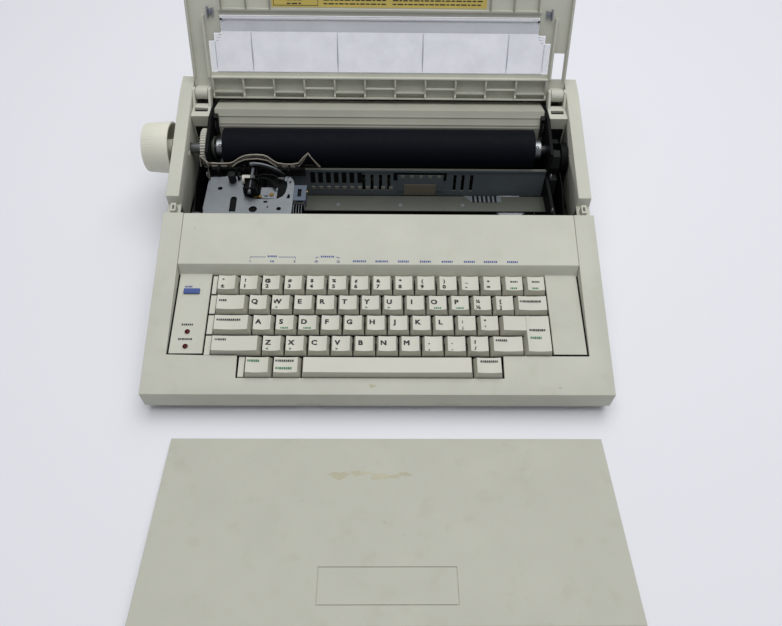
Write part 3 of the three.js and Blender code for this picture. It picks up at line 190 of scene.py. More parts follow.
@dataclass(frozen=True)
class Finish:
    """A finish: its colour, gloss and texture.

    Args:
        name: the material's name.
        slot: the record's material slot; not used.
        colour: display colour, 0 to 255 a channel.
        roughness: roughness of the surface.
        metallic: 1 for bare metal.
        surface: how it is textured.
        grain_mm: size of the fine grain.
        bump: strength of the grain's relief.
        mottle: how much the colour wanders, as a share.
        wear: how much lighter the sharp edges are, as a share.
        specks: how dark the scattered specks are, as a share.
        specular: strength of the surface's plain reflection.
        alpha: least and most cover of a clear finish.
    """

    name: str
    slot: str
    colour: tuple[int, int, int]
    roughness: float = 0.5
    metallic: float = 0.0
    surface: Surface = Surface.MOULDED
    grain_mm: float = 0.5
    bump: float = 0.25
    mottle: float = 0.05
    wear: float = 0.0
    specks: float = 0.0
    specular: float = 0.5
    alpha: tuple[float, float] = (0.1, 0.2)

    def base(self, share: float = 1.0) -> tuple[float, float, float, float]:
        """The linear base colour, darkened or lightened by a share."""
        r, g, b = (min(1.0, linear(c) * share) for c in self.colour)
        return (r, g, b, 1.0)

    def material(self) -> bpy.types.Material:
        """The finish as a node material, made once."""
        made = bpy.data.materials.get(self.name)
        if made:
            return made
        made = bpy.data.materials.new(self.name)
        made.use_nodes = True
        wiring = Wiring(made.node_tree)
        shader = wiring.fill(wiring.shader, Metallic=self.metallic, Specular_IOR_Level=self.specular)
        if self.surface is Surface.CLEAR:
            self._clear(wiring)
            return made
        cloud = wiring.noise(CLOUD_MM, 4)
        colour = wiring.ramp(cloud, (0.3, self.base(1 - self.mottle)), (0.7, self.base(1 + self.mottle)))
        if self.wear:
            colour = self._worn(wiring, colour)
        if self.specks:
            colour = self._speckled(wiring, colour)
        gloss = wiring.node(
            "MapRange",
            Value=wiring.noise(GLOSS_MM, 4),
            To_Min=max(0.0, self.roughness - GLOSS_SPREAD),
            To_Max=min(1.0, self.roughness + GLOSS_SPREAD),
        ).outputs["Result"]
        relief = wiring.node("Bump", Strength=self.bump, Distance=RELIEF, Height=self._grain(wiring))
        wiring.fill(shader, Base_Color=colour, Roughness=gloss, Normal=relief.outputs["Normal"])
        return made

    def _grain(self, wiring: Wiring) -> bpy.types.NodeSocket:
        """The fine relief: spark-eroded grain, brush lines or ground rubber."""
        if self.surface is not Surface.BRUSHED:
            return wiring.noise(self.grain_mm, 2)
        lines = wiring.node("Mapping", Vector=wiring.place, Scale=(0.03, 1, 1))
        return wiring.noise(self.grain_mm, 2, lines.outputs["Vector"])

    def _worn(self, wiring: Wiring, colour: bpy.types.NodeSocket) -> bpy.types.NodeSocket:
        """Lightens the sharp edges that hands rub and darkens the hollow creases."""
        point = wiring.node("NewGeometry").outputs["Pointiness"]
        shade = wiring.ramp(point, (0.44, grey(1 - self.wear * 2)), (0.56, grey(1 + self.wear)))
        return wiring.multiply(colour, shade)

    def _speckled(self, wiring: Wiring, colour: bpy.types.NodeSocket) -> bpy.types.NodeSocket:
        """Scatters small dark specks and faint smears of use."""
        spots = wiring.ramp(wiring.noise(SPECK_MM, 3), (0.70, grey(1)), (0.76, grey(1 - self.specks)))
        faint = (1 - self.specks / 3, 1 - self.specks / 3, 1 - self.specks / 2, 1)
        smears = wiring.ramp(wiring.noise(SMEAR_MM, 6), (0.56, grey(1)), (0.72, faint))
        return wiring.multiply(wiring.multiply(colour, spots), smears)

    def _clear(self, wiring: Wiring) -> None:
        """Clear moulding: sees through, with a faint haze in patches."""
        least, most = self.alpha
        haze = wiring.node("MapRange", Value=wiring.noise(HAZE_MM, 5), From_Min=0.3, From_Max=0.7)
        wiring.fill(haze, To_Min=least, To_Max=most)
        base = self.base()
        wiring.fill(wiring.shader, Base_Color=base, Roughness=self.roughness, IOR=1.49)
        wiring.fill(wiring.shader, Alpha=haze.outputs["Result"])


MATT = {"specular": 0.25}
FINE = {"grain_mm": 0.3, "bump": 0.1}
METAL = {"surface": Surface.BRUSHED}
SHEET = {"surface": Surface.CLEAR}
PRINT = {"surface": Surface.PRINTED, "bump": 0.05}
RUBBER = {"surface": Surface.RUBBER}

CASE = Finish("case_moulding", "case_plastic", (196, 196, 184), 0.65, mottle=0.04, specks=0.12, **MATT)
# Case plastic painted lighter than CASE: painted light on the knob and its ribs, which face the light.
KNOB_LIT = Finish("knob_moulding_lit", "case_plastic", (222, 221, 207), 0.6, mottle=0.04, **MATT)
# Case plastic painted darker than CASE: painted shade of the chute's hollow behind the platen.
CHUTE_SHADED = Finish("chute_moulding_shaded", "case_plastic", (166, 166, 154), 0.6, mottle=0.05, **MATT)
PANEL = Finish(
    "panel_moulding", "panel_plastic", (198, 198, 186), 0.65, mottle=0.04, specks=0.09, **MATT
)
COVER = Finish(
    "cover_moulding", "case_plastic", (187, 187, 175), 0.7, mottle=0.025, specks=0.16, specular=0.2
)
RESIDUE = Finish("sticker_residue", "case_plastic", (178, 175, 152), 0.7, mottle=0.14, bump=0.5)
KEYS = Finish(
    "key_moulding", "key_plastic", (194, 193, 181), 0.5, grain_mm=0.25, bump=0.1, mottle=0.03, wear=0.06
)
BLUE = Finish("blue_button", "alt_plastic", (40, 70, 138), 0.4, grain_mm=0.25, bump=0.1, wear=0.04)
LAMP = Finish("lamp_lens", "lamp_red", (70, 8, 12), 0.4, bump=0.02, specular=0.15)
PLATEN = Finish(
    "platen_sleeve", "platen_rubber", (10, 12, 20), 0.65,
    grain_mm=0.35, mottle=0.12, specular=0.08, **RUBBER
)
BLACK = Finish(
    "black_moulding", "black_plastic", (22, 23, 24), 0.55, mottle=0.15, wear=0.08, specular=0.15
)
# Black sheet for the real black parts, and also painted shade in the deck seams, the gaps between key
# rows, the bay liners and the hinge slots.
BLACK_SHEET_AND_SHADE = Finish(
    "black_sheet_and_painted_shade", "black_plastic", (16, 17, 18), 0.55, mottle=0.2, grain_mm=0.3, specular=0.08
)
STEEL = Finish(
    "plated_sheet", "pressed_steel", (143, 148, 153), 0.45, 1.0,
    grain_mm=0.6, bump=0.12, mottle=0.1, **METAL
)
DULL = Finish(
    "dull_steel", "pressed_steel", (118, 122, 126), 0.5, 0.9,
    grain_mm=0.5, bump=0.15, mottle=0.1, **METAL
)
ROD = Finish("rod_steel", "ground_rod", (140, 143, 146), 0.38, 1.0, grain_mm=0.3, bump=0.05, **METAL)
SLATE = Finish("dark_painted_sheet", "painted_plate", (86, 94, 98), 0.45, mottle=0.08, **FINE)
TAN = Finish("tan_painted_edge", "painted_plate", (112, 108, 94), 0.5, **FINE)
OLIVE = Finish("olive_sheet", "olive_plate", (62, 65, 57), 0.5, mottle=0.1, **FINE)
WHITE = Finish("white_moulding", "white_plastic", (196, 194, 184), 0.45, grain_mm=0.3, bump=0.08)
CLEAR = Finish("window_sheet", "clear_plastic", (196, 200, 208), 0.1, alpha=(0.2, 0.28), **SHEET)
HAZED = Finish("hazed_sheet", "clear_plastic", (200, 203, 210), 0.25, alpha=(0.4, 0.45), **SHEET)
SMOKE = Finish("holder_sheet", "clear_plastic", (34, 32, 34), 0.12, alpha=(0.5, 0.8), **SHEET)
# Painted highlights: bright lines along the card holder's clear edges.
GLINT = Finish("holder_rim_glint", "clear_plastic", (186, 178, 164), 0.08, alpha=(0.55, 0.95), **SHEET)
BOARD = Finish("circuit_laminate", "circuit_board", (44, 88, 58), 0.45, mottle=0.1)
GREEN = Finish("green_print", "circuit_board", (44, 118, 78), 0.6, **PRINT)
INK = Finish("black_print", "black_plastic", (34, 34, 36), 0.6, mottle=0.15, **PRINT)
BLUE_INK = Finish("blue_print", "alt_plastic", (66, 86, 146), 0.6, **PRINT)
LABEL = Finish("yellow_label", "panel_plastic", (200, 180, 96), 0.5, mottle=0.06, bump=0.08)
BRASS = Finish("bare_brass", "brass", (158, 128, 74), 0.36, 1.0, grain_mm=0.4, bump=0.08, **METAL)
COPPER = Finish("coil_wire", "brass", (150, 78, 44), 0.35, 1.0, grain_mm=0.2, bump=0.3, **METAL)
BLUE_GREY = Finish("blue_grey_bracket", "painted_plate", (78, 88, 103), 0.4, wear=0.06, **FINE)
PALE = Finish("lit_notch", "white_plastic", (138, 138, 128), 0.6, mottle=0.15)
CLIP = Finish("clip_moulding", "clear_plastic", (150, 154, 164), 0.2, alpha=(0.6, 0.8), **SHEET)
SCORE = Finish("score_line", "clear_plastic", (186, 190, 200), 0.4, mottle=0.1)
ROLL = Finish("rolled_edge", "clear_plastic", (214, 216, 222), 0.2, mottle=0.04, bump=0.05)
FOOT = Finish("foot_pad", "foot_rubber", (34, 34, 34), 0.85, **RUBBER)


def body_of_node(node: str) -> str:
    """The CAD body that a node belongs to."""
    for body, members in frame["record"]["behaviour"]["bodies"].items():
        if node in members:
            return body
    raise KeyError(node)


def stand(name: str, data: bpy.types.ID) -> bpy.types.Object:
    """A new object in the scene."""
    made = bpy.data.objects.new(name, data)
    bpy.context.scene.collection.objects.link(made)
    return made


def piece(
    name: str, mesh: bpy.types.Mesh, finish: Finish, body: str, *nodes: str, sharp: float = 20.0
) -> None:
    """Places a finished mesh in the scene as a piece of the typewriter.

    Args:
        name: the piece's name.
        mesh: its mesh, in the row frame's metres.
        finish: what it is made of.
        body: the CAD body it moves with.
        nodes: the CAD nodes it stands for.
        sharp: edges above this many degrees stay sharp.
    """
    made = stand(name, mesh)
    mesh.polygons.foreach_set("use_smooth", [True] * len(mesh.polygons))
    mesh.set_sharp_from_angle(angle=math.radians(sharp))
    made.data.name = name
    made.data.materials.clear()
    made.data.materials.append(finish.material())
    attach(made, body)
    if nodes:
        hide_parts(*nodes)
    log.info("%s: %d faces on %s", name, len(made.data.polygons), body)


def row_tree() -> bpy.types.NodeTree:
    """Geometry nodes that copy a piece along a line, for rows of caps, ribs, screws and slats.

    Returns:
        The node group, made once.
    """
    tree = bpy.data.node_groups.get("row_of_pieces")
    if tree:
        return tree
    tree = bpy.data.node_groups.new("row_of_pieces", "GeometryNodeTree")
    tree.interface.new_socket("Geometry", in_out="OUTPUT", socket_type="NodeSocketGeometry")
    for name in ("Geometry", "Count", "Step", "Material"):
        kind = {"Count": "Int", "Step": "Vector"}.get(name, name)
        tree.interface.new_socket(name, in_out="INPUT", socket_type="NodeSocket" + kind)
    start, end = tree.nodes.new("NodeGroupInput"), tree.nodes.new("NodeGroupOutput")
    kinds = ("MeshLine", "InstanceOnPoints", "RealizeInstances", "SetMaterial")
    line, copies, real, paint = (tree.nodes.new("GeometryNode" + kind) for kind in kinds)
    line.mode = "OFFSET"
    for giver, output, taker, socket in (
        (start, "Count", line, "Count"),
        (start, "Step", line, "Offset"),
        (line, "Mesh", copies, "Points"),
        (start, "Geometry", copies, "Instance"),
        (copies, "Instances", real, "Geometry"),
        (real, "Geometry", paint, "Geometry"),
        (start, "Material", paint, "Material"),
        (paint, "Geometry", end, "Geometry"),
    ):
        tree.links.new(giver.outputs[output], taker.inputs[socket])
    return tree


class Form:
    """Closed shapes gathered in one mesh, in millimetres of one frame: the machine's, or another."""

    def __init__(self, place: Matrix | None = None) -> None:
        """Starts empty, in the machine's frame unless told another."""
        self.place = place or machine_frame()
        self.work = bmesh.new()

    def soften(self, verts: list, radius: float) -> None:
        """Rounds the sharp edges of some corners."""
        edges = {e for v in verts for e in v.link_edges if e.is_manifold}
        sharp = [e for e in edges if e.calc_face_angle(0) > math.radians(30)]
        shape = {"segments": 2, "profile": 0.5, "affect": "EDGES", "clamp_overlap": True}
        bmesh.ops.bevel(self.work, geom=sharp, offset=radius, **shape)

    def loft(self, loops: list[list[Point]], soft: float = 0.0, closed: bool = False) -> Form:
        """Skins a row of equal loops; the ends are capped, or joined where it is closed."""
        rings = [[self.work.verts.new(point) for point in loop] for loop in loops]
        pairs = list(zip(rings, rings[1:]))
        if closed:
            pairs.append((rings[-1], rings[0]))
        for low, high in pairs:
            for i in range(len(low)):
                j = (i + 1) % len(low)
                self.work.faces.new((low[i], low[j], high[j], high[i]))
        if not closed:
            self.work.faces.new(rings[0][::-1])
            self.work.faces.new(rings[-1])
        if soft:
            self.soften([v for ring in rings for v in ring], soft)
        return self

    def prism(self, outline: Outline, axis: str, low: float, high: float, soft: float = 0.0) -> Form:
        """Carries a flat outline along an axis: (y, z) along X, (x, z) along Y, (x, y) along Z."""
        put = {
            "X": lambda a, b, c: (c, a, b),
            "Y": lambda a, b, c: (a, c, b),
            "Z": lambda a, b, c: (a, b, c),
        }[axis]
        return self.loft([[put(a, b, c) for a, b in outline] for c in (low, high)], soft)

    def box(
        self, x0: float, x1: float, y0: float, y1: float, z0: float, z1: float, soft: float = 0.0
    ) -> Form:
        """A block between two corners."""
        return self.prism([(x0, y0), (x1, y0), (x1, y1), (x0, y1)], "Z", z0, z1, soft)

    def boxes(self, *rows: Row) -> Form:
        """Blocks, from rows of what box takes."""
        for row in rows:
            self.box(*row)
        return self

    def twins(self, *rows: Row) -> Form:
        """Blocks at the right and their mirror images at the left, from rows of what box takes."""
        for side in (-1, 1):
            for x0, x1, *rest in rows:
                self.box(*sorted((side * x0, side * x1)), *rest)
        return self

    @staticmethod
    def spokes(start: Point, along: Point) -> Callable[[float, float, float], Point]:
        """Gives what turns a reach along an axis, a radius and an angle into a point."""
        turn = Vector(along).normalized().to_track_quat("Z", "X").to_matrix()

        def spoke(reach: float, radius: float, angle: float) -> Point:
            """The point at a reach, a radius and an angle."""
            place = Vector((radius * math.cos(angle), radius * math.sin(angle), reach))
            return tuple(Vector(start) + turn @ place)

        return spoke

    def turned(self, start: Point, along: Point, profile: Outline, sides: int = 24) -> Form:
        """A turned shape: (distance along the axis, radius) from a start point."""
        spoke = self.spokes(start, along)
        turns = [2 * math.pi * (i + 0.5) / sides for i in range(sides)]
        return self.loft([[spoke(*spot, turn) for turn in turns] for spot in profile])

    def washer(self, start: Point, along: Point, profile: Outline, sides: int = 28) -> Form:
        """A turned ring: its closed (distance, radius) section goes round the axis."""
        spoke = self.spokes(start, along)
        turns = [2 * math.pi * i / sides for i in range(sides)]
        return self.loft([[spoke(*spot, turn) for spot in profile] for turn in turns], closed=True)

    def rod(self, a: Point, b: Point, radius: float, sides: int = 20, rounding: float = 0.2) -> Form:
        """A round bar between two points with its ends rounded."""
        along = Vector(b) - Vector(a)
        size = along.length
        small = max(radius - rounding, radius * 0.3)
        profile = [(0, small), (rounding, radius), (size - rounding, radius), (size, small)]
        return self.turned(a, tuple(along), profile, sides)

    def pipe(self, path: list[Point], radius: float, sides: int = 8) -> Form:
        """A round wire along a path of points."""
        points = [Vector(p) for p in path]
        loops = []
        for i, point in enumerate(points):
            ahead = points[min(i + 1, len(points) - 1)] - points[max(i - 1, 0)]
            turn = ahead.normalized().to_track_quat("Z", "Y").to_matrix()
            loops.append([
                tuple(point + turn @ Vector((radius * math.cos(a), radius * math.sin(a), 0)))
                for a in (2 * math.pi * k / sides for k in range(sides))
            ])
        return self.loft(loops)

    @staticmethod
    def circle(x: float, y: float, radius: float, sides: int = 20) -> Outline:
        """A round outline."""
        turns = [2 * math.pi * i / sides for i in range(sides)]
        return [(x + radius * math.cos(t), y + radius * math.sin(t)) for t in turns]

    def sheet(self, outline: Outline, holes: list[Outline], low: float, high: float) -> Form:
        """A flat sheet in the XY plane, with holes."""
        rings = [list(outline), *(list(hole) for hole in holes)]
        cells = tessellate_polygon([[Vector((x, y, 0)) for x, y in ring] for ring in rings])
        under = [[self.work.verts.new((x, y, low)) for x, y in ring] for ring in rings]
        above = [[self.work.verts.new((x, y, high)) for x, y in ring] for ring in rings]
        for level in (under, above):
            flat = [v for ring in level for v in ring]
            for cell in cells:
                self.work.faces.new([flat[i] for i in cell])
        for a, b in zip(under, above):
            for i in range(len(a)):
                j = (i + 1) % len(a)
                self.work.faces.new((a[i], a[j], b[j], b[i]))
        return self

    def lattice(self, cuts: tuple[list, list], holes: set, low: float, high: float) -> Form:
        """A plate of cells in the XY plane, with some cells left out.

        Args:
            cuts: places of the lines between the cells, along X and along Y.
            holes: (column, row) of each cell that is left out.
            low: underside of the plate.
            high: top of the plate.
        """
        xs, ys = cuts
        spots: dict = {}

        def spot(i: int, j: int, z: float) -> bmesh.types.BMVert:
            """The corner where two lines cross at a height, made once."""
            if (i, j, z) not in spots:
                spots[i, j, z] = self.work.verts.new((xs[i], ys[j], z))
            return spots[i, j, z]

        solid = {
            (i, j) for i in range(len(xs) - 1) for j in range(len(ys) - 1) if (i, j) not in holes
        }
        for i, j in solid:
            ring = [(i, j), (i + 1, j), (i + 1, j + 1), (i, j + 1)]
            self.work.faces.new([spot(a, b, high) for a, b in ring])
            self.work.faces.new([spot(a, b, low) for a, b in reversed(ring)])
            for k, near in enumerate([(i, j - 1), (i + 1, j), (i, j + 1), (i - 1, j)]):
                if near not in solid:
                    p, q = ring[k], ring[(k + 1) % 4]
                    self.work.faces.new([spot(*p, low), spot(*q, low), spot(*q, high), spot(*p, high)])
        return self

    def words(self, text: str, centre: Point, height: float, thick: float = 0.12) -> Form:
        """Raised print: some letters, figures or signs, centred on a point."""
        bevel, widen, bold, lift = height * 0.03, 1.16, height * 0.045, 0.012
        curve = bpy.data.curves.new("print", "FONT")
        curve.body = text
        curve.size = height / CAP_SHARE
        curve.align_x = curve.align_y = "CENTER"
        curve.extrude = thick - bevel
        curve.bevel_depth = bevel
        curve.bevel_resolution = 0
        curve.resolution_u = 3
        host = bpy.data.objects.new("print", curve)
        mesh = bpy.data.meshes.new_from_object(host)
        before = set(self.work.verts)
        self.work.from_mesh(mesh)
        fresh = [v for v in self.work.verts if v not in before]
        bmesh.ops.remove_doubles(self.work, verts=fresh, dist=0.002)
        fresh = [v for v in self.work.verts if v not in before]
        bmesh.ops.scale(self.work, vec=(widen, 1, 1), verts=fresh)
        bmesh.ops.translate(self.work, vec=centre, verts=fresh)
        faces = list({f for v in fresh for f in v.link_faces})
        for side in (-bold, bold):
            twin = bmesh.ops.duplicate(self.work, geom=faces)["geom"]
            beside = [item for item in twin if isinstance(item, bmesh.types.BMVert)]
            bmesh.ops.translate(self.work, vec=(side, 0, lift), verts=beside)
        bpy.data.objects.remove(host)
        bpy.data.curves.remove(curve)
        bpy.data.meshes.remove(mesh)
        return self

    def mesh(self, name: str) -> bpy.types.Mesh:
        """The gathered shapes as a mesh in the row frame's metres."""
        bmesh.ops.recalc_face_normals(self.work, faces=self.work.faces)
        self.work.transform(self.place)
        mesh = bpy.data.meshes.new(name)
        self.work.to_mesh(mesh)
        self.work.free()
        return mesh

    def piece(self, name: str, finish: Finish, body: str, *nodes: str) -> None:
        """Makes the gathered shapes a piece of the typewriter."""
        piece(name, self.mesh(name), finish, body, *nodes)

    def row(
        self, name: str, count: int, step: Point, finish: Finish, body: str, *nodes: str
    ) -> None:
        """Makes the gathered shapes, copied along a line by geometry nodes, one piece."""
        host = stand(name, self.mesh(name))
        copier = host.modifiers.new("copies", "NODES")
        copier.node_group = tree = row_tree()
        sockets = {s.name: s.identifier for s in tree.interface.items_tree if s.in_out == "INPUT"}
        copier[sockets["Count"]] = count
        copier[sockets["Step"]] = tuple(self.place.to_3x3() @ Vector(step))
        copier[sockets["Material"]] = finish.material()
        bpy.context.view_layer.update()
        graph = bpy.context.evaluated_depsgraph_get()
        mesh = bpy.data.meshes.new_from_object(host.evaluated_get(graph))
        bpy.data.objects.remove(host)
        piece(name, mesh, finish, body, *nodes)


class Softening(Enum):
    """How the CAD's loose triangles are joined before their edges are rounded."""

    MERGED = "flat fields joined whole"
    DIVIDED = "flat fields joined, then cut evenly"
    LOOSE = "triangles as they come"


def split_wide(work: bmesh.types.BMesh) -> None:
    """Cuts every face of more than four corners into triangles."""
    bmesh.ops.triangulate(work, faces=[face for face in work.faces if len(face.verts) > 4])


def softened(mesh: bpy.types.Mesh, radius: float, way: Softening) -> bmesh.types.BMesh:
    """A copy of a CAD mesh with its sharp edges rounded.

    Args:
        mesh: the CAD mesh.
        radius: size of the rounding, in metres; 0 leaves the edges sharp.
        way: how its triangles are joined first.

    Returns:
        The new shape.
    """
    work = bmesh.new()
    work.from_mesh(mesh)
    bmesh.ops.remove_doubles(work, verts=work.verts, dist=2e-6)
    if way is not Softening.LOOSE:
        bmesh.ops.dissolve_limit(work, angle_limit=FLAT_LIMIT, verts=work.verts, edges=work.edges)
    if way is Softening.DIVIDED:
        split_wide(work)
    least = 2.5 * radius
    rounded = [
        e
        for e in work.edges
        if radius
        and e.is_manifold
        and e.calc_face_angle(0) > EDGE_LIMIT
        and e.calc_length() > least
        and all(min(o.calc_length() for o in v.link_edges) > least for v in e.verts)
    ]
    if rounded:
        bmesh.ops.bevel(work, geom=rounded, offset=radius, segments=2, profile=0.5, affect="EDGES")
    split_wide(work)
    return work


def faithful(work: bmesh.types.BMesh, skin: BVHTree, radius: float) -> bool:
    """Whether a rounded shape still lies on the CAD's surface everywhere."""
    reach = 1.5 * radius + 0.05 * MM
    for face in work.faces:
        spots = [face.calc_center_median()]
        spots += [(edge.verts[0].co + edge.verts[1].co) / 2 for edge in face.edges]
        if any(skin.find_nearest(spot)[3] > reach for spot in spots):
            return False
    return True


def dressed(node: str, finish: Finish, radius_mm: float, sharp: float = 20.0) -> None:
    """A copy of a CAD node with its loose triangles joined and its edges rounded.

    Args:
        node: the CAD node.
        finish: what it is made of.
        radius_mm: size of the rounding.
        sharp: angle in degrees past which an edge is shaded as sharp.
    """
    source = frame["nodes"][node].data
    plain = softened(source, 0, Softening.LOOSE)
    skin = BVHTree.FromBMesh(plain)
    chosen = None
    for radius, way in product((radius_mm * MM, radius_mm * MM / 2), Softening):
        work = softened(source, radius, way)
        if faithful(work, skin, radius):
            chosen = work
            log.info("%s: %s, rounded by %.2f mm", node, way.value, radius / MM)
            break
        work.free()
    if chosen is None:
        log.info("%s: edges left as they are", node)
        chosen = plain
    mesh = bpy.data.meshes.new(node)
    chosen.to_mesh(mesh)
    chosen.free()
    piece(node + "_shell", mesh, finish, body_of_node(node), node, sharp=sharp)


def inset(outline: Outline, by: float) -> Outline:
    """Moves every edge of an outline inwards, for one that runs anticlockwise."""
    moved = []
    count = len(outline)
    for i in range(count):
        a, b, c = (Vector(outline[(i + k) % count]) for k in (-1, 0, 1))
        before, after = (b - a).normalized(), (c - b).normalized()
        n, m = Vector((-before.y, before.x)), Vector((-after.y, after.x))
        moved.append(tuple(b + by * (n + m) / (1 + n.dot(m))))
    return moved


def both_sides(near: float, far: float) -> list[tuple[float, float]]:
    """Ends across of a part at the left of the machine and of its twin at the right."""
    return [(-far, -near), (near, far)]


def blob(x: float, y: float, long: float, deep: float, count: int, *waves: tuple) -> Outline:
    """A round outline that wanders: each wave has its height, its number of humps and its shift."""
    outline = []
    for i in range(count):
        turn = 2 * math.pi * i / count
        swell = sum((high * math.sin(humps * turn + shift) for high, humps, shift in waves), 1)
        outline.append((x + long * swell * math.cos(turn), y + deep * swell * math.sin(turn)))
    return outline


def dress_all(*rows: tuple[str, Finish, float]) -> None:
    """Dresses nodes, each with its finish and rounding."""
    for row in rows:
        dressed(*row)


@dataclass
class CaseShell:
    """The moulded case, what stands on its floor, and its small fittings.

    Args:
        lamp_x: middle of the two lamps, across.
        lamp_places: their distances up the key deck.
        bezel: inner and outer radius of the ring round each lamp.
        notch: each recess in the front's lower edge, as a block at the right that fills it with painted
            shade.
        stain_places: middle, half length and half depth of each stain on the front deck.
        seam: foot and head of the key deck's side seams, up the deck, which are darkened with painted
            shade.
        bay_wall: outline of the liner at each side of the bay, in y and z.
        board_top: height of the main board's upper face.
        bobbin: the transformer's bobbin, as a block.
    """

    lamp_x: float = -160.6
    lamp_places: tuple[float, float] = (41.0, 27.6)
    bezel: tuple[float, float] = (2.3, 3.1)
    notch: Row = (48.4, 66.6, 1.9, 2.4, 9.7, 12.3)
    stain_places: tuple = ((-5.0, 7.2, 2.6, 1.5), (148.0, 6.0, 1.6, 0.7), (-163.0, 150.5, 0.9, 0.5))
    seam: tuple[float, float] = (19.3, 96.0)
    bay_wall: tuple = ((164, 8), (284, 8), (284, 58), (262, 66), (206, 60), (180, 48), (164, 44))
    board_top: float = 11.6
    bobbin: Row = (78.0, 104.0, 292.3, 317.7, 10.8, 40.8, 2.0)

    def mouldings(self) -> None:
        """Dresses the case's own mouldings."""
        dress_all(
            ("base_pan", CASE, 0.4),
            ("upper_case", CASE, 0.6),
            ("keyboard_panel", PANEL, 0.5),
            ("cord_gland", BLACK, 0.3),
            ("main_board", BOARD, 0.1),
            ("power_transformer", DULL, 0.4),
            ("lid_hinge_left", CASE, 0.4),
            ("lid_hinge_right", CASE, 0.4),
        )
        for corner in ("front_left", "front_right", "rear_left", "rear_right"):
            dressed("foot_" + corner, FOOT, 0.4)

    def lamp_bezels(self) -> None:
        """Makes the thin rings in which the lamps sit."""
        near, far = self.bezel
        form = Form(deck_frame())
        for place in self.lamp_places:
            ring = [(-0.4, near), (0.25, near), (0.3, far - 0.2), (0.1, far), (-0.4, far)]
            form.washer((self.lamp_x, place, 0), (0, 0, 1), ring)
        form.piece("lamp_bezels", KEYS, "case")
        dress_all(("shift_led", LAMP, 0.3), ("power_led", LAMP, 0.3))

    def front_marks(self) -> None:
        """Fills the front's recesses with dull blocks as painted shade and puts a few small stains on
        its deck.
        """
        Form().twins(self.notch).piece("front_recess_shade", DULL, "case")
        form = Form(rim_frame())
        for x, v, long, deep in self.stain_places:
            form.prism(blob(x, v, long, deep, 16, (0.25, 3, x)), "Z", -0.3, 0.03)
        form.piece("deck_stains", RESIDUE, "case")

    def seam_shading(self) -> None:
        """Makes the dark strips round the sunk key deck: its seams, painted black as painted shade of
        the side walls.
        """
        foot, head = self.seam
        form = Form(deck_frame())
        form.twins(
            (173.6, 174.95, foot, head, -0.3, 0.05),
            (145.5, 173.6, foot, foot + 2.0, -0.3, 0.05),
        ).piece("deck_seam_shade", BLACK_SHEET_AND_SHADE, "case")

    def bay_shade_liners(self) -> None:
        """Makes black sheets that line the bay under the carriage: partly the bay's real black chassis,
        partly painted shade of the deep bay.
        """
        form = Form().box(-159, 159, 164, 262, 6.0, 6.6)
        for ends in both_sides(173.4, 174.2):
            form.prism(self.bay_wall, "X", *ends)
        form.piece("bay_shade_liners", BLACK_SHEET_AND_SHADE, "case")

    def board_parts(self) -> None:
        """Puts chips, cans and a connector on the main board, and windings on the transformer."""
        top = self.board_top
        chips = Form().boxes(*((x - 17, x + 17, 80, 94, top, top + 4, 0.4) for x in (-90, -40, 15)))
        chips.box(50, 70, 60, 66, top, top + 8, 0.3).piece("board_chips", BLACK, "case")
        leads = Form().box(-106.6, -105.6, 78.6, 95.4, top - 0.1, top + 1.6)
        leads.row("board_leads", 13, (2.54, 0, 0), STEEL, "case")
        cans = Form().rod((-110, 55, top), (-110, 55, top + 11), 4, 24, 0.6)
        cans.row("board_cans", 5, (14, 0, 0), BLUE_INK, "case")
        Form().box(*self.bobbin).piece("transformer_bobbin", COPPER, "case")

    def build(self) -> None:
        """Builds the case."""
        self.mouldings()
        self.lamp_bezels()
        self.front_marks()
        self.seam_shading()
        self.bay_shade_liners()
        self.board_parts()


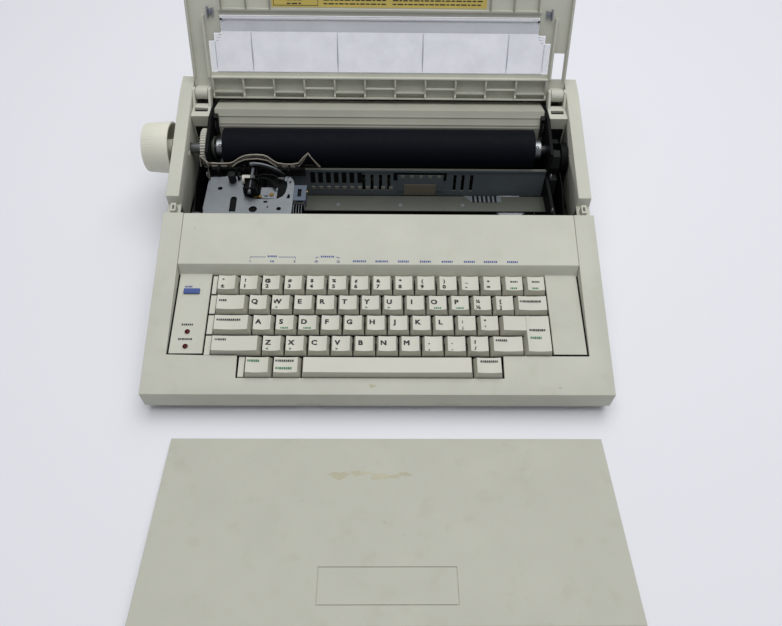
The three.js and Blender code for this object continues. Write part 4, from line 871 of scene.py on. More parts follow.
@dataclass
class Keyboard:
    """The keys with their dished caps, on the sloping deck.

    Args:
        rise: height of a cap above the deck.
        skirt: how far a cap reaches below it.
        gap: clearance at each side of a cap.
        front_gap: clearance in front of a row.
        row_gap: clearance between rows.
        slopes: lean of a cap's side, front and back.
        dish: depth of the hollow in a cap's top.
        columns: parts across a cap.
        edge: rounding of a cap's edges.
        ledge: width and height of the step beside a wide key.
        stem: half width and lower end of a key's stem.
        carrier: half depth and height of a row's carrier strip.
        surround: lines across and up between the cells of the blue button's surround.
        button: the blue button, as a block.
    """

    rise: float = 7.0
    skirt: float = 3.0
    gap: float = 0.45
    front_gap: float = 0.3
    row_gap: float = 0.85
    slopes: tuple[float, float, float] = (1.9, 2.1, 3.1)
    dish: float = 0.85
    columns: int = 8
    edge: float = 0.6
    ledge: tuple[float, float] = (5.6, 0.4)
    stem: tuple[float, float] = (2.0, -10.0)
    carrier: tuple[float, float] = (3.0, 1.4)
    surround: tuple = ([-169.7, -168.5, -154.7, -152.4], [76.3, 76.85, 81.65, 84.2])
    button: Row = (-168.4, -154.8, 76.95, 81.55, -2.5, 1.7, 0.6)

    def place(self, units: float) -> float:
        """Distance across of a place counted in key pitches."""
        return KEY_LEFT + units * KEY_PITCH

    def depth(self, row: float, rows: int = 1) -> tuple[float, float]:
        """Front and back of a key that covers some rows."""
        front = row * KEY_PITCH + self.front_gap
        return front, front + rows * KEY_PITCH - self.row_gap

    def hollow(self, width: float) -> float:
        """Depth of the hollow in a cap of a width."""
        return self.dish * min(1.0, 18.0 / width + 0.35)

    def cap(self, form: Form, start: float, end: float, row: float, rows: int = 1) -> None:
        """Adds a cap: leaning sides and a top that is hollow across.

        Args:
            form: the shape it is added to.
            start: its left end, in key pitches.
            end: its right end, in key pitches.
            row: its row, counted from the space bar.
            rows: how many rows it covers.
        """
        side, front, back = self.slopes
        x0, x1 = self.place(start) + self.gap, self.place(end) - self.gap
        v0, v1 = self.depth(row, rows)
        hollow = self.hollow(x1 - x0)
        loops = []
        for i in range(self.columns + 1):
            t = i / self.columns
            low_x = x0 + t * (x1 - x0)
            top_x = x0 + side + t * (x1 - x0 - 2 * side)
            top = self.rise - hollow * (1 - (2 * t - 1) ** 2)
            lean = front * (self.rise - top) / (self.rise + self.skirt)
            loops.append([
                (low_x, v0, -self.skirt),
                (low_x, v1, -self.skirt),
                (top_x, v1 - back, top),
                (top_x, v0 + front - lean, top),
            ])
        form.loft(loops, self.edge)

    def step_beside(self, form: Form, start: float, end: float, row: float) -> None:
        """Adds the low step at the left of a wide key."""
        x0, x1 = self.place(start) + self.gap, self.place(end)
        v0, v1 = self.depth(row)
        loops = [
            [(x0 + by, v0 + by, z), (x1, v0 + by, z), (x1, v1 - by, z), (x0 + by, v1 - by, z)]
            for by, z in ((0, -self.skirt), (0.45, self.ledge[1]))
        ]
        form.loft(loops, 0.3)

    def stalk(self, form: Form, units: float, row: float) -> None:
        """Adds the square stem under a cap."""
        half, foot = self.stem
        x, v = self.place(units), (row + 0.5) * KEY_PITCH
        form.box(x - half, x + half, v - half, v + half, foot, -0.5)

    def single_key(
        self, node: str, row: int, start: float, end: float, stems: Row, step: bool
    ) -> None:
        """Makes a wide key, with the step at its left where it has one."""
        form = Form(deck_frame())
        ledge = self.ledge[0] / KEY_PITCH if step else 0
        self.cap(form, start + ledge, end, row)
        if step:
            self.step_beside(form, start, start + ledge, row)
        for units in stems:
            self.stalk(form, units, row)
        form.piece(node + "_cap", KEYS, node + "_body", node)

    def return_key(self) -> None:
        """Makes the tall key that covers two rows at its right."""
        form = Form(deck_frame())
        self.cap(form, 13, 15.25, 2)
        self.cap(form, 14, 15.25, 1, 2)
        self.stalk(form, 14.6, 2)
        self.stalk(form, 14.6, 1)
        form.piece("return_key_cap", KEYS, "return_key_body", "return_key")

    def character_row(self, node: str, row: int, start: float, count: int, step: float) -> None:
        """Makes a row of equal keys, copied along the row by geometry nodes."""
        form = Form(deck_frame())
        self.cap(form, start, start + 1, row)
        self.stalk(form, start + 0.5, row)
        form.row(node + "_caps", count, (KEY_PITCH, 0, 0), KEYS, node + "_body", node)
        strip = Form(deck_frame())
        half, high = self.carrier
        middle = (row + 0.5) * KEY_PITCH
        left, right = self.place(start + 0.5), self.place(start + count - 0.5)
        strip.box(left, right, middle - half, middle + half, -self.skirt, high - self.skirt)
        strip.piece(node + "_carrier", BLACK_SHEET_AND_SHADE, node + "_body")
        if step:
            beside = Form(deck_frame())
            self.step_beside(beside, start - step, start - 0.01, row)
            beside.piece(node + "_step", KEYS, node + "_body")

    def build(self) -> None:
        """Builds every key, the blue button and the plate under them."""
        dressed("key_bed_plate", BLACK, 0.1)
        # Black strips in the gaps between the key rows, as painted shade.
        shade_webs = Form(deck_frame()).box(-144, 144, KEY_PITCH - 0.45, KEY_PITCH + 0.15, -6.2, -0.4)
        shade_webs.row("row_shade_webs", 4, (0, KEY_PITCH, 0), BLACK_SHEET_AND_SHADE, "case")
        surround = Form(deck_frame()).lattice(self.surround, {(1, 1)}, -0.9, 0.02)
        surround.piece("alt_button_surround", PANEL, "case")
        button = Form(deck_frame()).box(*self.button)
        button.piece("alt_button_cap", BLUE, body_of_node("alt_button"), "alt_button")
        for key in (
            ("tab_key", 3, 0, 1.75, (1.1,), True),
            ("backspace_key", 3, 13.75, 15.25, (14.5,), False),
            ("shift_lock_key", 2, 0, 2, (1.25,), True),
            ("left_shift_key", 1, 0, 2.5, (1.5,), True),
            ("right_shift_key", 1, 12.5, 14, (13.25,), False),
            ("code_key", 0, 1.55, 3.05, (2.45,), True),
            ("word_out_key", 0, 3.05, 4.3, (3.675,), False),
            ("space_bar", 0, 4.3, 11.72, (5.6, 10.4), False),
            ("correct_key", 0, 11.72, 13, (12.36,), False),
        ):
            self.single_key(*key)
        self.return_key()
        for row in (
            ("number_row_keys", 4, 0.25, 15, 0.25),
            ("upper_row_keys", 3, 1.75, 12, 0),
            ("middle_row_keys", 2, 2, 11, 0),
            ("lower_row_keys", 1, 2.5, 10, 0),
        ):
            self.character_row(*row)


@dataclass
class Legends:
    """Plain print: single letters and figures on the keys, and dashes where the object has words.

    Args:
        letter: size of a key's letter, and its place from the key's left and front.
        upper: the same of the upper of two signs on a letter row.
        lower: the same of the lower one.
        mark: the same of a small green sign.
        shifted: the same of the upper sign on the number row.
        figure: the same of the figure under it.
        body: depth and thickness of a sign's body below the key's top.
        lie: height of the dashes above the deck on a wide key.
        thick: half thickness of a dash.
        dash: height of a dash in most words.
        widths: widths that the dashes take in turn.
        space: gap between two dashes.
    """

    letter: Point = (4.1, 6.4, 9.4)
    upper: Point = (3.1, 6.0, 10.2)
    lower: Point = (3.1, 6.0, 4.6)
    mark: Point = (2.3, 6.0, 3.9)
    shifted: Point = (3.0, 6.4, 10.7)
    figure: Point = (3.3, 6.2, 5.2)
    body: tuple[float, float] = (0.22, 0.34)
    lie: float = 6.72
    thick: float = 0.14
    dash: float = 1.7
    widths: Row = (1.3, 0.9, 1.5, 1.1)
    space: float = 0.5

    def dashes(self, form: Form, start: float, end: float, v: float, high: float, lie: float) -> None:
        """Adds a row of small dashes in place of a word.

        Args:
            form: the shape it is added to.
            start: left end.
            end: right end.
            v: its middle, up the slope.
            high: height of the dashes.
            lie: height of their middle above the surface's frame.
        """
        x, i = start, 0
        while x < end - self.space:
            wide = min(self.widths[i % 4], end - x)
            form.box(x, x + wide, v - high / 2, v + high / 2, lie - self.thick, lie + self.thick)
            x += wide + self.space
            i += 1

    def top_height(self, x: float, centre: float, width: float) -> float:
        """Height of a cap's hollow top at a place across."""
        keys = Keyboard()
        full = width - 2 * keys.gap
        t = (x - centre) / (full / 2 - keys.slopes[0])
        return keys.rise - keys.hollow(full) * max(0.0, 1 - t * t)

    def sign(self, form: Form, text: str, units: float, row: int, place: Point) -> None:
        """Adds one sign on a key that is one pitch wide.

        Args:
            form: the shape it is added to.
            text: the sign.
            units: the key's left, in key pitches.
            row: its row, counted from the space bar.
            place: size of the sign, and its place from the key's left and front.
        """
        high, across, up = place
        x = KEY_LEFT + units * KEY_PITCH + across
        middle = KEY_LEFT + (units + 0.5) * KEY_PITCH
        lie = max(self.top_height(x + side * high * 0.5, middle, KEY_PITCH) for side in (-1, 1))
        sunk, thick = self.body
        form.words(text, (x, row * KEY_PITCH + up, lie - sunk), high, thick)

    def number_row(self) -> None:
        """Prints the figures and signs of the number row."""
        black, green = Form(deck_frame()), Form(deck_frame())
        base = 4 * KEY_PITCH
        pairs = ["°±", "!1", "@2", "#3", "$4", "%5", "¢6", "&7", "*8", "(9", ")0", "_-", "+="]
        for i, (upper, lower) in enumerate(pairs):
            self.sign(black, upper, 0.25 + i, 4, self.shifted)
            self.sign(black, lower, 0.25 + i, 4, self.figure)
        for i, reach in ((13, 11.0), (14, 9.5)):
            left = KEY_LEFT + (0.25 + i) * KEY_PITCH + 3.4
            lie = self.top_height(left + reach / 2, left + 6.1, KEY_PITCH) + 0.06
            self.dashes(black, left, left + reach, base + 10.6, self.dash, lie)
            self.dashes(green, left + 0.4, left + reach - 1.5, base + 4.2, self.dash, lie)
        black.piece("number_row_print", INK, "number_row_keys_body")
        green.piece("number_row_green_print", GREEN, "number_row_keys_body")

    def letter_rows(self) -> None:
        """Prints the letters, the green marks under some, and the paired signs at the right."""
        for node, row, start, letters, marked, worded, signs in (
            ("upper_row_keys", 3, 1.75, "QWERTYUIOP", "WYU", "OP", ["¼½", "[]"]),
            ("middle_row_keys", 2, 2.0, "ASDFGHJKL", "", "SD", [":;", '"\'']),
            ("lower_row_keys", 1, 2.5, "ZXCVBNM", "ZXV", "", [",,", "..", "?/"]),
        ):
            black, green = Form(deck_frame()), Form(deck_frame())
            for i, letter in enumerate(letters):
                self.sign(black, letter, start + i, row, self.letter)
                if letter in marked:
                    self.sign(green, "<" if letter in "WZ" else ">", start + i, row, self.mark)
                if letter in worded:
                    left = KEY_LEFT + (start + i) * KEY_PITCH + 4.4
                    lie = self.top_height(left + 3, left + 5, KEY_PITCH) + 0.05
                    self.dashes(green, left, left + 8.2, row * KEY_PITCH + 3.9, 1.5, lie)
            for i, (upper, lower) in enumerate(signs, len(letters)):
                self.sign(black, upper, start + i, row, self.upper)
                self.sign(black, lower, start + i, row, self.lower)
            black.piece(node + "_print", INK, node + "_body")
            green.piece(node + "_green_print", GREEN, node + "_body")

    def wide_keys(self) -> None:
        """Prints dashes where the wide keys carry words."""
        for node, start, end, v, kind, finish in (
            ("tab_key", -135.7, -128.6, 67.6, "print", INK),
            ("shift_lock_key", -135.7, -114.9, 49.2, "print", INK),
            ("left_shift_key", -135.5, -125.4, 31.1, "print", INK),
            ("right_shift_key", 97.0, 107.2, 31.1, "print", INK),
            ("backspace_key", 119.9, 138.6, 67.6, "print", INK),
            ("code_key", -106.6, -97.1, 12.4, "print", GREEN),
            ("word_out_key", -83.9, -68.6, 12.4, "print", INK),
            ("correct_key", 83.2, 97.5, 12.2, "print", INK),
            ("return_key", 125.9, 139.8, 40.6, "print", INK),
            ("word_out_key", -83.4, -70.1, 5.9, "green_print", GREEN),
            ("return_key", 126.2, 135.4, 33.6, "green_print", GREEN),
        ):
            form = Form(deck_frame())
            self.dashes(form, start, end, v, self.dash, self.lie)
            form.piece(f"{node}_{kind}", finish, node + "_body")

    def panel(self) -> None:
        """Prints the blue lines and dashes above the number row."""
        form = Form(rim_frame())
        line, word, under = (v / math.cos(RIM_SLOPE) for v in (118.6, 119.2, 114.5))
        lie = 0.1
        low, high = lie - self.thick, lie + self.thick
        for start, end in ((-112.4, -99), (-87.5, -72.8), (-55, -52.5), (-37.6, -35)):
            form.box(start, end, line - 0.2, line + 0.2, low, high)
        for x in (-112.2, -73, -54.9, -35.2):
            form.box(x - 0.2, x + 0.2, line - 1.6, line, low, high)
        for start, end in ((-97.2, -89.2), (-50.9, -39.2)):
            self.dashes(form, start, end, word, 1.5, lie)
        for x, text in ((-112.1, "1"), (-93, "1½"), (-73.5, "2"), (-54.9, "10"), (-35.8, "12")):
            form.words(text, (x, under, lie), 1.8, self.thick)
        starts = (-22.7, -3.2, 16.4, 35.6, 54.6, 74, 91.5, 111.7)
        ends = (-11.4, 7.7, 26.9, 45.2, 64.4, 83.7, 103.8, 121.8)
        for start, end in zip(starts, ends):
            self.dashes(form, start, end, under + 0.5, self.dash, lie)
        form.piece("panel_print", BLUE_INK, "case")

    def lamp_labels(self) -> None:
        """Prints dashes above the button and the lamps."""
        form = Form(deck_frame())
        for start, end, v in ((-166.2, -156.7, 47.6), (-167.3, -155.4, 34.2)):
            self.dashes(form, start, end, v, self.dash, 0.08)
        form.piece("lamp_print", INK, "case")
        blue = Form(deck_frame())
        self.dashes(blue, -168.0, -161.9, 84.0, 1.6, 0.1)
        blue.piece("button_print", BLUE_INK, "case")

    def build(self) -> None:
        """Prints everything."""
        self.number_row()
        self.letter_rows()
        self.wide_keys()
        self.panel()
        self.lamp_labels()


@dataclass
class PaperFeed:
    """The platen with its gears, the rollers under it, the chute and the slotted guide plate.

    Args:
        guide_face: depth of the guide plate's face at its top, height of the top, and lean.
        ends: middle of the collar and face of the end ring, at both ends of the platen.
        screw_foot: distance of a grub screw's foot from the platen's axis.
        screw_turns: angles of the two grub screws in a collar.
        ribs: number of ribs round the knob.
        rib_ends: place across and distance from the axis of a rib's outer and inner end.
        rib_radius: radius of a rib.
        rail: section of the rail along the guide plate's top, in y and z.
        fields: piece, finish, bottom, top, height off the plate, left, right and rounding of each
            flat field on the guide plate.
        hook: outline of the hooks at the chute's ends, in y and z.
        brackets: right end and outline, in y and z, of both parts of the bracket at the right.
    """

    guide_face: Point = (222.5, 66, 0.1267)
    ends: Line = ((-151.3, -147.9), (150.3, 146.5))
    screw_foot: float = 9.2
    screw_turns: tuple[float, float] = (0.6, 2.2)
    ribs: int = 60
    rib_ends: Line = ((-220.6, 22.55), (-198.4, 24.05))
    rib_radius: float = 0.24
    rail: tuple = ((222.9, 64.2), (224.0, 64.2), (224.0, 66.3), (222.9, 66.3))
    fields: tuple = (
        ("guide_recess", BLACK_SHEET_AND_SHADE, 54, 63.4, 0.2, 13.4, 64.4, 0),
        ("guide_step", SLATE, 42, 60.4, 0.6, 17.2, 61.6, 0.2),
        ("guide_field", TAN, 37.6, 49.6, 1.1, 23.6, 54.6, 0.3),
    )
    hook: tuple = (
        (259.5, 76), (262, 74), (266.5, 84), (270, 92), (267.5, 95), (263.5, 93), (265, 89), (261, 82)
    )
    brackets: tuple = (
        (172.5, (
            (226, 52), (259, 52), (259, 70), (254, 78), (247, 79),
            (247, 72), (240, 72), (238, 78), (231, 76), (226, 66),
        )),
        (170, ((212, 44), (224, 44), (224, 60), (216, 60))),
    )

    def guide_y(self, z: float) -> float:
        """Depth of the guide plate's front face at a height."""
        depth, top, lean = self.guide_face
        return depth - (top - z) * lean

    def rollers(self) -> None:
        """Dresses the platen and everything that turns with or under it."""
        dress_all(
            ("platen_roller", PLATEN, 0.4),
            ("platen_shaft", ROD, 0.3),
            ("platen_knob", KNOB_LIT, 0.6),
            ("platen_gear", WHITE, 0.1),
            ("idler_gear", WHITE, 0.1),
            ("motor_pinion", BRASS, 0.05),
            ("feed_rollers", PLATEN, 0.3),
            ("line_feed_motor", DULL, 0.3),
        )

    def collar_screws(self) -> None:
        """Makes the dark grub screws and the steel end rings of the platen."""
        screws, rings = Form(), Form()
        head = [(0, 1.5), (0.45, 1.5), (0.45, 0.9), (0.2, 0.8)]
        ring = [(0, 9.0), (0, 17.2), (0.35, 17.2), (0.35, 9.0)]
        for middle, face in self.ends:
            for turn in self.screw_turns:
                along = Vector((0, -math.sin(turn), math.cos(turn)))
                start = Vector((middle, PLATEN_Y, PLATEN_Z)) + self.screw_foot * along
                screws.turned(tuple(start), tuple(along), head, 12)
            rings.washer((face, PLATEN_Y, PLATEN_Z), (1, 0, 0), ring, 48)
        screws.piece("collar_screws", BLACK, "platen")
        rings.piece("platen_end_rings", DULL, "platen")

    def knob_grip(self) -> None:
        """Makes the fine ribs round the knob."""
        form = Form()
        for i in range(self.ribs):
            turn = 2 * math.pi * i / self.ribs
            y, z = math.sin(turn), math.cos(turn)
            ends = [(x, PLATEN_Y + reach * y, PLATEN_Z + reach * z) for x, reach in self.rib_ends]
            form.rod(*ends, self.rib_radius, 6, 0.1)
        form.piece("knob_ribs", KNOB_LIT, "platen")

    def on_guide(self, low: float, high: float, proud: float, *ends: float) -> Form:
        """A flat field that stands off the guide plate's leaning face; ends as prism takes them."""
        a, b = self.guide_y(low), self.guide_y(high)
        outline = [(a - proud, low), (a + 0.3, low), (b + 0.3, high), (b - proud, high)]
        return Form().prism(outline, "X", *ends)

    def guide_plate(self) -> None:
        """Dresses the slotted guide plate and adds its rail, fields, slots and small notches."""
        dressed("paper_guide_plate", SLATE, 0.15)
        Form().prism(self.rail, "X", -159, 159, 0.25).piece("guide_rail", TAN, "case")
        for name, finish, *sizes in self.fields:
            self.on_guide(*sizes).piece(name, finish, "case")
        # The pale notches and tabs below are painted light: lit squares on the dark plate.
        y = self.guide_y(58.4)
        notch = Form().box(20.6, 23.8, y - 0.75, y + 0.3, 56.6, 60.0)
        notch.row("guide_notches", 5, (8.8, 0, 0), PALE, "case")
        slot = self.on_guide(51, 64, 0.12, -66.8, -62.4)
        slot.row("guide_slots", 7, (7.55, 0, 0), BLACK_SHEET_AND_SHADE, "case")
        y = self.guide_y(44.5)
        tab = Form().box(-66.4, -62.8, y - 0.45, y + 0.3, 42.6, 46.4)
        tab.row("guide_tabs", 11, (7.55, 0, 0), PALE, "case")

    def chute(self) -> None:
        """Dresses the chute and adds the low steps across it, the dark hooks at its ends and black
        panels on the hinges' fronts as painted shade.
        """
        dressed("paper_chute", CHUTE_SHADED, 0.4)
        step = Form().prism([(265.8, 84.3), (266.6, 85.2), (266.0, 85.5), (265.3, 84.7)], "X", -156, 156)
        step.row("chute_steps", 2, (0, 4.6, 5.1), CHUTE_SHADED, "case")
        form = Form()
        for ends, hinge_shade in zip(both_sides(155.5, 158.6), both_sides(165.2, 178.8)):
            form.prism(self.hook, "X", *ends, 0.3).box(*hinge_shade, 264.0, 264.7, 61, 82)
        form.piece("chute_hooks_and_hinge_shade", BLACK, "case")

    def supports(self) -> None:
        """Makes the bearing at the left, the dark bracket and cover at the right of the platen, and
        black boxes in the hinge slots as painted shade.
        """
        bush = [(0, 5.4), (0, 8.2), (2.0, 8.6), (2.0, 11), (3.0, 11), (3.0, 5.4)]
        bearing = Form().washer((-159.9, PLATEN_Y, PLATEN_Z), (1, 0, 0), bush, 32)
        bearing.piece("bearing_bush", OLIVE, "case")
        bracket = Form()
        for right, outline in self.brackets:
            bracket.prism(outline, "X", 163.4, right, 0.5)
        bracket.piece("release_bracket", BLACK, "case")
        dome = [(0, 13), (0.6, 15), (6.6, 15), (7.2, 14), (7.2, 6), (7.6, 5)]
        Form().turned((172.8, 240, 66), (1, 0, 0), dome, 40).piece("feed_gear_cover", BLACK_SHEET_AND_SHADE, "case")
        slot_shade = Form().twins((165.5, 178.5, 271.9, 276.6, 88.1, 91.5))
        slot_shade.piece("hinge_slot_shade", BLACK_SHEET_AND_SHADE, "case")

    def build(self) -> None:
        """Builds the paper feed."""
        self.rollers()
        self.collar_screws()
        self.knob_grip()
        self.guide_plate()
        self.chute()
        self.supports()


@dataclass
class Chassis:
    """Side plates, rod, rail and the drive of the carriage.

    Args:
        screws: places (y, z) of the screws in each side plate.
        rail_screw: place of the first screw on the rail.
        disc: middle, radius and height of the slotted disc by the carriage motor.
        disc_back: depth at which the disc is cut off behind.
    """

    screws: Line = ((176, 60), (206, 74), (272, 70), (225, 26))
    rail_screw: Point = (-40, 200, 41.46)
    disc: tuple[float, float, float, float] = (126.0, 202.4, 16.6, 38.9)
    disc_back: float = 215.2

    def plates(self) -> None:
        """Dresses the plates, the rod, the rail and the drive."""
        dress_all(
            ("left_side_plate", BLACK_SHEET_AND_SHADE, 0.3),
            ("right_side_plate", BLACK_SHEET_AND_SHADE, 0.3),
            ("carriage_rod", ROD, 0.3),
            ("front_rail", OLIVE, 0.2),
            ("carriage_motor", DULL, 0.4),
            ("drive_pulley", BRASS, 0.2),
            ("idler_pulley", WHITE, 0.2),
            ("carriage_belt", BLACK, 0.1),
        )

    def plate_screws(self) -> None:
        """Makes the screw heads on both side plates."""
        head = [(0, 2.6), (0.5, 2.6), (0.9, 1.9), (0.9, 0.9), (0.5, 0.8)]
        for i, (y, z) in enumerate(self.screws):
            for side, x, way in (("left", -160.05, 1), ("right", 160.05, -1)):
                form = Form().turned((x, y, z), (way, 0, 0), head, 16)
                form.piece(f"plate_screws_{side}_{i}", DULL, "case")

    def rail_parts(self) -> None:
        """Makes the rail's dark comb slots, the slotted disc beside them and the rail's screws."""
        slot = Form().box(90, 92.2, 203.6, 212.6, 41.2, 42.05)
        slot.row("comb_slots", 6, (4.3, 0, 0), BLACK_SHEET_AND_SHADE, "case")
        strip = Form().prism([(82, 212.4), (89, 204.4), (118, 204.4), (118, 212.4)], "Z", 41.2, 42.04)
        strip.piece("rail_shadow_strip", SLATE, "case")
        x, y, radius, z = self.disc
        edge = [(a, min(b, self.disc_back)) for a, b in Form.circle(x, y, radius, 48)]
        disc = Form().sheet(edge, [Form.circle(x, y, 3)], z, z + 0.9)
        ring = [(0, 11.6), (0, 12.4), (0.6, 12.4), (0.6, 11.6)]
        disc.washer((x, y, z + 0.7), (0, 0, 1), ring, 40).piece("encoder_disc", HAZED, "case")
        head = [(0, 2.2), (0.35, 2.2), (0.6, 1.7), (0.6, 0.8), (0.35, 0.7)]
        screw = Form().turned(self.rail_screw, (0, 0, 1), head, 16)
        screw.row("rail_screws", 3, (60, 0, 0), DULL, "case")

    def build(self) -> None:
        """Builds the chassis."""
        self.plates()
        self.plate_screws()
        self.rail_parts()


@dataclass
class CarriageWorks:
    """The carriage with its plate, hammer, type wheel and clear card holder.

    Args:
        card: outline of the card holder's upper edge, in x and z.
        card_y: its front and back.
        card_depth: how far it reaches down from that edge.
        card_foot: height below which it never reaches.
        tip_width: width of the pointed ends' border.
        tips: the holder's two pointed ends, in x and z.
        tip_glints: lines of the painted highlights along their edges.
        bow_glint: line of a painted highlight that arches across the holder's middle.
        plate: outline of the steel plate, in x and y.
        plate_slot: the long slot in it.
        plate_holes: middle and radius of each round hole in it.
        plate_level: its underside and top.
        arc: near and far radius, front and back of the arc over the type wheel.
        springs: start of each small coil spring.
    """

    card: Line = (
        (-168.4, 71.6), (-166.9, 84.9), (-161.2, 76.2), (-150.9, 75.4), (-141.0, 75.8),
        (-137.0, 77.4), (-130.3, 82.6), (-125.5, 85.0), (-120.7, 86.0), (-114.0, 86.4),
        (-107.9, 85.8), (-104.0, 83.6), (-100.9, 80.1), (-96.2, 76.4), (-90.0, 75.1), (-83.4, 74.9),
        (-76.4, 76.3), (-70.8, 83.8), (-66.5, 88.6), (-63.2, 82.2), (-57.0, 72.0),
    )
    card_y: tuple[float, float] = (219.45, 220.55)
    card_depth: float = 24.0
    card_foot: float = 60.0
    tip_width: float = 2.3
    tips: tuple = (
        ((-168.6, 71.4), (-166.9, 84.6), (-160.4, 71.4)),
        ((-77.0, 71.4), (-66.5, 88.2), (-55.5, 71.4)),
    )
    tip_glints: tuple = (
        ((-168.2, 71.6), (-166.9, 84.2), (-161.0, 71.6)),
        ((-76.4, 71.6), (-66.5, 87.6), (-56.2, 71.6)),
    )
    bow_glint: Line = (
        (-139, 71.6), (-133, 77.0), (-126, 80.4), (-114, 81.6), (-105, 79.6), (-99, 74.0), (-97, 71.6)
    )
    plate: Line = (
        (-158.8, 162.2), (-79.6, 162.2), (-79.4, 175.3), (-79.4, 200.4), (-81.2, 206.4),
        (-84.0, 210.6), (-88.2, 210.9), (-88.6, 208.0), (-86.4, 203.0), (-85.8, 198.0),
        (-86.8, 189.7), (-89.0, 184.6), (-93.3, 181.6), (-104.7, 180.6), (-114.0, 181.2),
        (-120.6, 183.2), (-124.6, 186.2), (-126.0, 190.5), (-127.4, 208.6), (-133.0, 210.0),
        (-136.5, 210.9), (-144.1, 210.9), (-145.6, 209.9), (-158.4, 209.4),
    )
    plate_slot: Line = (
        (-135.9, 164.8), (-129.9, 164.8), (-130.4, 181.6), (-131.6, 183.4), (-133.4, 184.0),
        (-135.2, 183.4), (-136.3, 181.6),
    )
    plate_holes: tuple[Point, ...] = (
        (-147.6, 194.4, 2.2), (-137.0, 204.0, 2.3), (-91.2, 168.9, 2.2), (-114.5, 168.0, 3.8),
        (-101.6, 170.8, 0.9),
    )
    plate_level: tuple[float, float] = (66.0, 67.4)
    arc: tuple[float, float, float, float] = (33.0, 35.6, 213.2, 214.8)
    springs: tuple[Point, ...] = ((-133.0, 207.6, 69.4), (-94.4, 206.0, 69.0))

    def card_sheet(self) -> None:
        """Makes the card holder's clear sheet with its two pointed ends."""
        front, back = self.card_y
        edge = [(x, z) for x, z in self.card if -161.5 < x < -70]
        body = [(x, z, max(self.card_foot, z - self.card_depth)) for x, z in edge]
        sheet = Form().loft([
            [(x, front, foot), (x, back, foot), (x, back, z), (x, front, z)] for x, z, foot in body
        ])
        for outer in self.tips:
            inner = inset(outer[::-1], self.tip_width)[::-1]
            sheet.loft([
                [(x, front, z), (x, back, z), (a, back, c), (a, front, c)]
                for (x, z), (a, c) in zip(outer, inner)
            ], closed=True)
        sheet.piece("card_holder_sheet", SMOKE, "carriage", "card_holder")

    def card_glints(self) -> None:
        """Makes the card holder's rim lines: real edges of the clear sheet, painted bright as painted
        highlights.
        """
        front, back = self.card_y
        middle = (front + back) / 2
        rim = Form().boxes(
            (-158, -144, front - 0.5, front + 0.1, 71.6, 73.2, 0.2),
            (-92, -80, front - 0.5, front + 0.1, 71.6, 73.2, 0.2),
        )
        for line, y, drop, radius in (
            (self.card, middle - 0.2, 0.5, 0.62),
            (self.card[2:17], middle - 0.3, 2.6, 0.32),
            (self.card[2:6], middle - 0.3, 4.4, 0.28),
            (self.card[13:17], middle - 0.3, 4.4, 0.28),
            (self.bow_glint, front - 0.2, 0, 0.7),
            (self.tip_glints[0], middle - 0.3, 0, 0.55),
            (self.tip_glints[1], middle - 0.3, 0, 0.55),
        ):
            rim.pipe([(x, y, z - drop) for x, z in line], radius, 6)
        rim.piece("card_holder_glints", GLINT, "carriage")

    def frame_parts(self) -> None:
        """Dresses the carriage and what it carries."""
        dress_all(
            ("carriage_frame", BLACK_SHEET_AND_SHADE, 0.3),
            ("wheel_motor", BLACK_SHEET_AND_SHADE, 0.3),
            ("daisy_wheel", BLACK, 0.1),
            ("print_hammer", DULL, 0.1),
            ("ribbon_spindle", BLACK, 0.2),
            ("correction_spool", DULL, 0.3),
        )

    def solenoid(self) -> None:
        """Makes the hammer's solenoid: yoke, coil, ribbed roller and lever."""
        x = WHEEL_X
        Form().boxes(
            (x - 5.9, x + 5.9, 184.1, 185.3, 66.4, 77.9, 0.2),
            (x - 5.9, x + 5.9, 196.0, 197.4, 66.4, 77.9, 0.2),
            (x - 5.9, x - 4.9, 184.6, 205.8, 66.4, 72.0, 0.2),
            (x + 4.9, x + 5.9, 184.6, 205.8, 66.4, 72.0, 0.2),
        ).piece("hammer_solenoid_yoke", BLACK_SHEET_AND_SHADE, "carriage", "hammer_solenoid")
        drum = [(0, 4.7), (0.2, 5.0), (10.6, 5.0), (10.8, 4.7)]
        coil = Form().turned((x, 185.2, 71.9), (0, 1, 0), drum, 28)
        coil.piece("hammer_solenoid_coil", BLACK_SHEET_AND_SHADE, "carriage")
        rib = [(0.5, 4.4), (1.9, 4.4), (2.0, 3.9), (2.3, 3.9)]
        ribs = [(2 * i + reach, radius) for i in range(5) for reach, radius in rib]
        profile = [(0, 3.2), (0.3, 4.3), *ribs, (10.7, 4.3), (11.0, 3.2)]
        roller = Form().turned((-127.8, 204.2, 69.4), (1, 0, 0), profile, 28)
        roller.piece("ribbed_roller", WHITE, "carriage")
        lever = Form().boxes(
            (-117.6, -114.8, 198, 207, 68.2, 70.0, 0.2),
            (-116.0, -114.6, 205.4, 218.0, 68.4, 72.4, 0.2),
            (-101, -93.4, 186.5, 201.5, 60.5, 65.4, 0.6),
            (-132.6, -130.6, 205.5, 212.5, 66.4, 71.5, 0.3),
        )
        near = [(-112, 205.5, 69.5), (-106, 204.5, 70.5), (-100, 200.5, 70.5), (-96, 193, 69.4)]
        far = [(-121, 207.5, 68.5), (-110, 210.5, 70), (-99, 209.5, 70), (-92, 204, 68.8)]
        lever.pipe(near, 1.3).pipe(far, 1.0)
        lever.piece("hammer_lever", BLACK_SHEET_AND_SHADE, "carriage")

